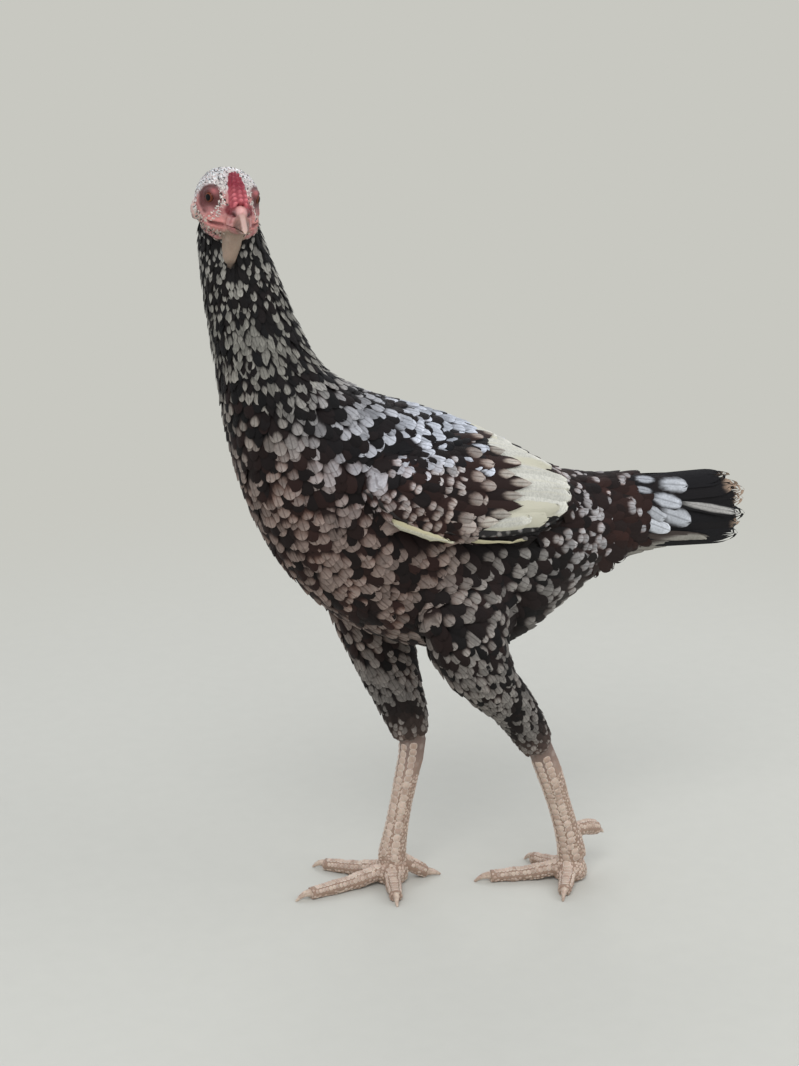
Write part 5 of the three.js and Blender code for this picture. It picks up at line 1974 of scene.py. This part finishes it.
def length(name, description, default, low, high):
    """A setting that is a length."""
    limits = {"default": default, "min": low, "max": high}
    return FloatProperty(name=name, description=description, precision=5, unit="LENGTH", **limits)


def power(name, description, default):
    """A setting that is a lamp's power."""
    return FloatProperty(name=name, description=description, default=default, min=0.0, unit="POWER")


def angle(name, description, default):
    """A setting that is an angle, given in degrees here."""
    return FloatProperty(name=name, description=description, default=math.radians(default), subtype="ANGLE")


class HenSkinSettings(bpy.types.PropertyGroup):
    """How finely the skin is made."""

    voxel: length("Grain", "Size of the skin's first cells", 1.0 * MM, 0.6 * MM, 3.0 * MM)
    smoothing: IntProperty(
        name="Smoothing", description="Rounds of smoothing that take the cells' steps out", default=8, min=0
    )


class HenCoatSettings(bpy.types.PropertyGroup):
    """How the feathers stand."""

    spacing: FloatProperty(
        name="Spacing",
        description="Distance between feathers as a share of each region's own",
        default=0.84,
        min=0.6,
        max=3.0,
        subtype="FACTOR",
    )
    lift: length("Lift", "How far feather tips stand off the plumage's outline", 0.5 * MM, 0.0, 4.0 * MM)
    seed: IntProperty(name="Seed", description="Start of the feathers' random values", default=100, min=0)


class HenHeadSettings(bpy.types.PropertyGroup):
    """The head's feathers and eyes."""

    spacing: length("Spacing", "Distance between the face's small feathers", 0.95 * MM, 0.7 * MM, 4.0 * MM)
    pupil: angle("Pupil", "Angle from the eye's axis to the pupil's edge", 22)
    iris: angle("Iris", "Angle from the eye's axis to the iris's edge", 41)


class HenLegSettings(bpy.types.PropertyGroup):
    """The scales on the legs."""

    spacing: length("Spacing", "Distance between the small scales", 2.2 * MM, 1.5 * MM, 6.0 * MM)
    lift: length("Lift", "How far a large scute's lower rim stands off the skin", 0.22 * MM, 0.0, 1.0 * MM)


class HenStageSettings(bpy.types.PropertyGroup):
    """Floor and light."""

    paint: FloatVectorProperty(
        name="Floor",
        description="Colour of the floor and the backdrop",
        default=FLOOR_TONE,
        min=0.0,
        max=1.0,
        size=3,
        subtype="COLOR",
    )
    daylight: FloatProperty(name="Daylight", description="Strength of the light from all round", default=0.78)
    key: power("Key", "Power of the main lamp", 20.0)
    fill: power("Fill", "Power of the lamp that fills shadows", 8.0)
    back: power("Back", "Power of the lamp behind the bird", 9.0)


SETTINGS = {
    "hen_skin": HenSkinSettings,
    "hen_coat": HenCoatSettings,
    "hen_head": HenHeadSettings,
    "hen_legs": HenLegSettings,
    "hen_stage": HenStageSettings,
}


# ---- Operators ----


def built(name):
    """A piece made by an earlier operator."""
    piece = bpy.data.objects.get(name)
    if piece is None:
        raise RuntimeError(f"{name} isn't built yet")
    return piece


class Tools:
    """What the operators share: the skin, the trees, the shapes and the feathers' two finishes.

    Each is made when it is first asked for.
    """

    def __init__(self):
        groups, materials = bpy.data.node_groups, bpy.data.materials
        self.skin = built("skin")
        self.lay = groups.get("Lay vanes") or lay_tree()
        self.sow = groups.get("Sow vanes") or sow_tree(self.lay)
        self.shapes = {kind: bpy.data.collections.get(kind) for kind in (*VANES, *PLATES)}
        if None in self.shapes.values():
            self.shapes = make_shapes()
        self.feather = materials.get("feather") or feather_finish("feather", *BODY_WEB)
        self.flight = materials.get("flight_feather") or feather_finish("flight_feather", *FLIGHT_WEB)


def finish_piece(piece, nodes=(), finish=None):
    """Gives a finished piece its finish, mounts it, and lets it stand in for its nodes."""
    if not piece.data.polygons:
        raise RuntimeError(f"{piece.name} came out empty")
    if finish:
        piece.data.materials.append(finish)
    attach(piece, "root")
    if nodes:
        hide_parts(*nodes)


class HEN_OT_stage(bpy.types.Operator):
    """Set the floor, the light and the camera"""

    bl_idname = "hen.stage"
    bl_label = "Stage"

    def execute(self, context):
        settings = context.scene.hen_stage
        colour = tuple(settings.paint)
        make_camera()
        make_floor(colour)
        make_world(colour, settings.daylight)
        for name, (place, size, aim) in LAMPS.items():
            make_lamp(name, place, size, getattr(settings, name), aim)
        context.scene.view_settings.view_transform = "Standard"
        return {"FINISHED"}


class HEN_OT_skin(bpy.types.Operator):
    """Build the skin over head, body, wings and legs"""

    bl_idname = "hen.skin"
    bl_label = "Skin"

    def execute(self, context):
        settings = context.scene.hen_skin
        skin = make_skin(settings.voxel, settings.smoothing)
        unwrap(skin)
        finish_piece(skin, FLESH_NODES, skin_finish())
        return {"FINISHED"}


class HEN_OT_eyes(bpy.types.Operator):
    """Set both eyes"""

    bl_idname = "hen.eyes"
    bl_label = "Eyes"

    def execute(self, context):
        settings = context.scene.hen_head
        finish = eye_finish(math.degrees(settings.pupil), math.degrees(settings.iris))
        for side in SIDES:
            finish_piece(make_eye(side), [f"eye_{side}"], finish)
        return {"FINISHED"}


class HEN_OT_beak(bpy.types.Operator):
    """Build both halves of the beak"""

    bl_idname = "hen.beak"
    bl_label = "Beak"

    def execute(self, context):
        finish = beak_finish()
        for part in ("upper", "lower"):
            finish_piece(make_beak(part), [f"beak_{part}"], finish)
        return {"FINISHED"}


class HEN_OT_face(bpy.types.Operator):
    """Grow the short feathers of crown and cheeks"""

    bl_idname = "hen.face"
    bl_label = "Face feathers"

    def execute(self, context):
        finish_piece(make_head_coat(Tools(), context.scene.hen_head.spacing))
        return {"FINISHED"}


class HEN_OT_coat(bpy.types.Operator):
    """Grow the coat over neck, body and thighs"""

    bl_idname = "hen.coat"
    bl_label = "Coat"

    def execute(self, context):
        settings = context.scene.hen_coat
        form, fields = make_form("body_form", BODY_NODES, COAT_GUIDES, settings.lift)
        for name in COATS:
            finish_piece(make_coat(name, form, fields, Tools(), settings))
        drop(form)
        return {"FINISHED"}


class HEN_OT_wings(bpy.types.Operator):
    """Grow the coverts and flight feathers of both folded wings"""

    bl_idname = "hen.wings"
    bl_label = "Wings"

    def execute(self, context):
        settings = context.scene.hen_coat
        tools = Tools()
        body, _ = make_form("body_form", BODY_NODES, COAT_GUIDES, settings.lift, WING_ROUNDS)
        for side in SIDES:
            nodes = WING_NODES[side]
            form, _ = make_form(f"wing_form_{side}", nodes, WING_GUIDES, settings.lift, WING_ROUNDS)
            finish_piece(make_coverts(side, form, tools, settings))
            drop(form)
            for kind, rows in WING_ROWS.items():
                finish = tools.flight if kind == "flight" else tools.feather
                values = {"Finish": finish, "Seed": settings.seed + WING_SHIFT}
                piece = place_feathers(f"wing_{kind}_{side}", rows, side, body, tools, kind, 1.0, values)
                finish_piece(piece)
        drop(body)
        return {"FINISHED"}


class HEN_OT_tail(bpy.types.Operator):
    """Set the tail's feathers"""

    bl_idname = "hen.tail"
    bl_label = "Tail"

    def execute(self, context):
        settings = context.scene.hen_coat
        tools = Tools()
        looks = {"frayed": (0.0, tools.flight), "contour": (1.0, tools.feather)}
        form, _ = make_form("tail_form", ["rump", "tail"], COAT_GUIDES, settings.lift)
        for side in SIDES:
            for kind, rows in TAIL_ROWS.items():
                conform, finish = looks[kind]
                values = {"Finish": finish, "Seed": settings.seed + TAIL_SHIFT}
                piece = place_feathers(f"tail_{kind}_{side}", rows, side, form, tools, kind, conform, values)
                finish_piece(piece)
        drop(form)
        return {"FINISHED"}


class HEN_OT_scales(bpy.types.Operator):
    """Lay the scutes and small scales of the legs"""

    bl_idname = "hen.scales"
    bl_label = "Scales"

    def execute(self, context):
        settings = context.scene.hen_legs
        tools = Tools()
        form = make_leg_form(tools.skin)
        tree = bvh_of(tools.skin.data)
        finish = scute_finish()
        middles = []
        for side in SIDES:
            piece, own = make_scutes(side, form, tree, tools, finish, settings.lift)
            middles.append(own)
            finish_piece(piece)
        scales = make_scales(form, np.concatenate(middles), tools, finish, settings.spacing)
        finish_piece(scales)
        drop(form)
        return {"FINISHED"}


class HEN_OT_claws(bpy.types.Operator):
    """Build every claw"""

    bl_idname = "hen.claws"
    bl_label = "Claws"

    def execute(self, context):
        finish_piece(make_claws(), CLAW_NODES, claw_finish())
        return {"FINISHED"}


OPERATORS = (
    HEN_OT_stage,
    HEN_OT_skin,
    HEN_OT_eyes,
    HEN_OT_beak,
    HEN_OT_face,
    HEN_OT_coat,
    HEN_OT_wings,
    HEN_OT_tail,
    HEN_OT_scales,
    HEN_OT_claws,
)


class HEN_PT_panel(bpy.types.Panel):
    """The hen's parts and their settings"""

    bl_idname = "HEN_PT_panel"
    bl_label = "Hen"
    bl_space_type = "VIEW_3D"
    bl_region_type = "UI"
    bl_category = "Hen"

    def draw(self, context):
        for operator in OPERATORS:
            self.layout.operator(operator.bl_idname)
        for name, group in SETTINGS.items():
            box = self.layout.box()
            for key in group.__annotations__:
                box.prop(getattr(context.scene, name), key)


CLASSES = (*SETTINGS.values(), *OPERATORS, HEN_PT_panel)


def register():
    """Adds the classes and hangs the settings on the scene."""
    for entry in CLASSES:
        bpy.utils.register_class(entry)
    for name, group in SETTINGS.items():
        setattr(bpy.types.Scene, name, PointerProperty(type=group))


def unregister():
    """Takes the settings and classes away again."""
    for name in SETTINGS:
        delattr(bpy.types.Scene, name)
    for entry in reversed(CLASSES):
        bpy.utils.unregister_class(entry)


def main():
    """Builds the bird and its stage, one operator after another."""
    register()
    for operator in OPERATORS:
        group, name = operator.bl_idname.split(".")
        getattr(getattr(bpy.ops, group), name)()


if __name__ == "__main__":
    main()
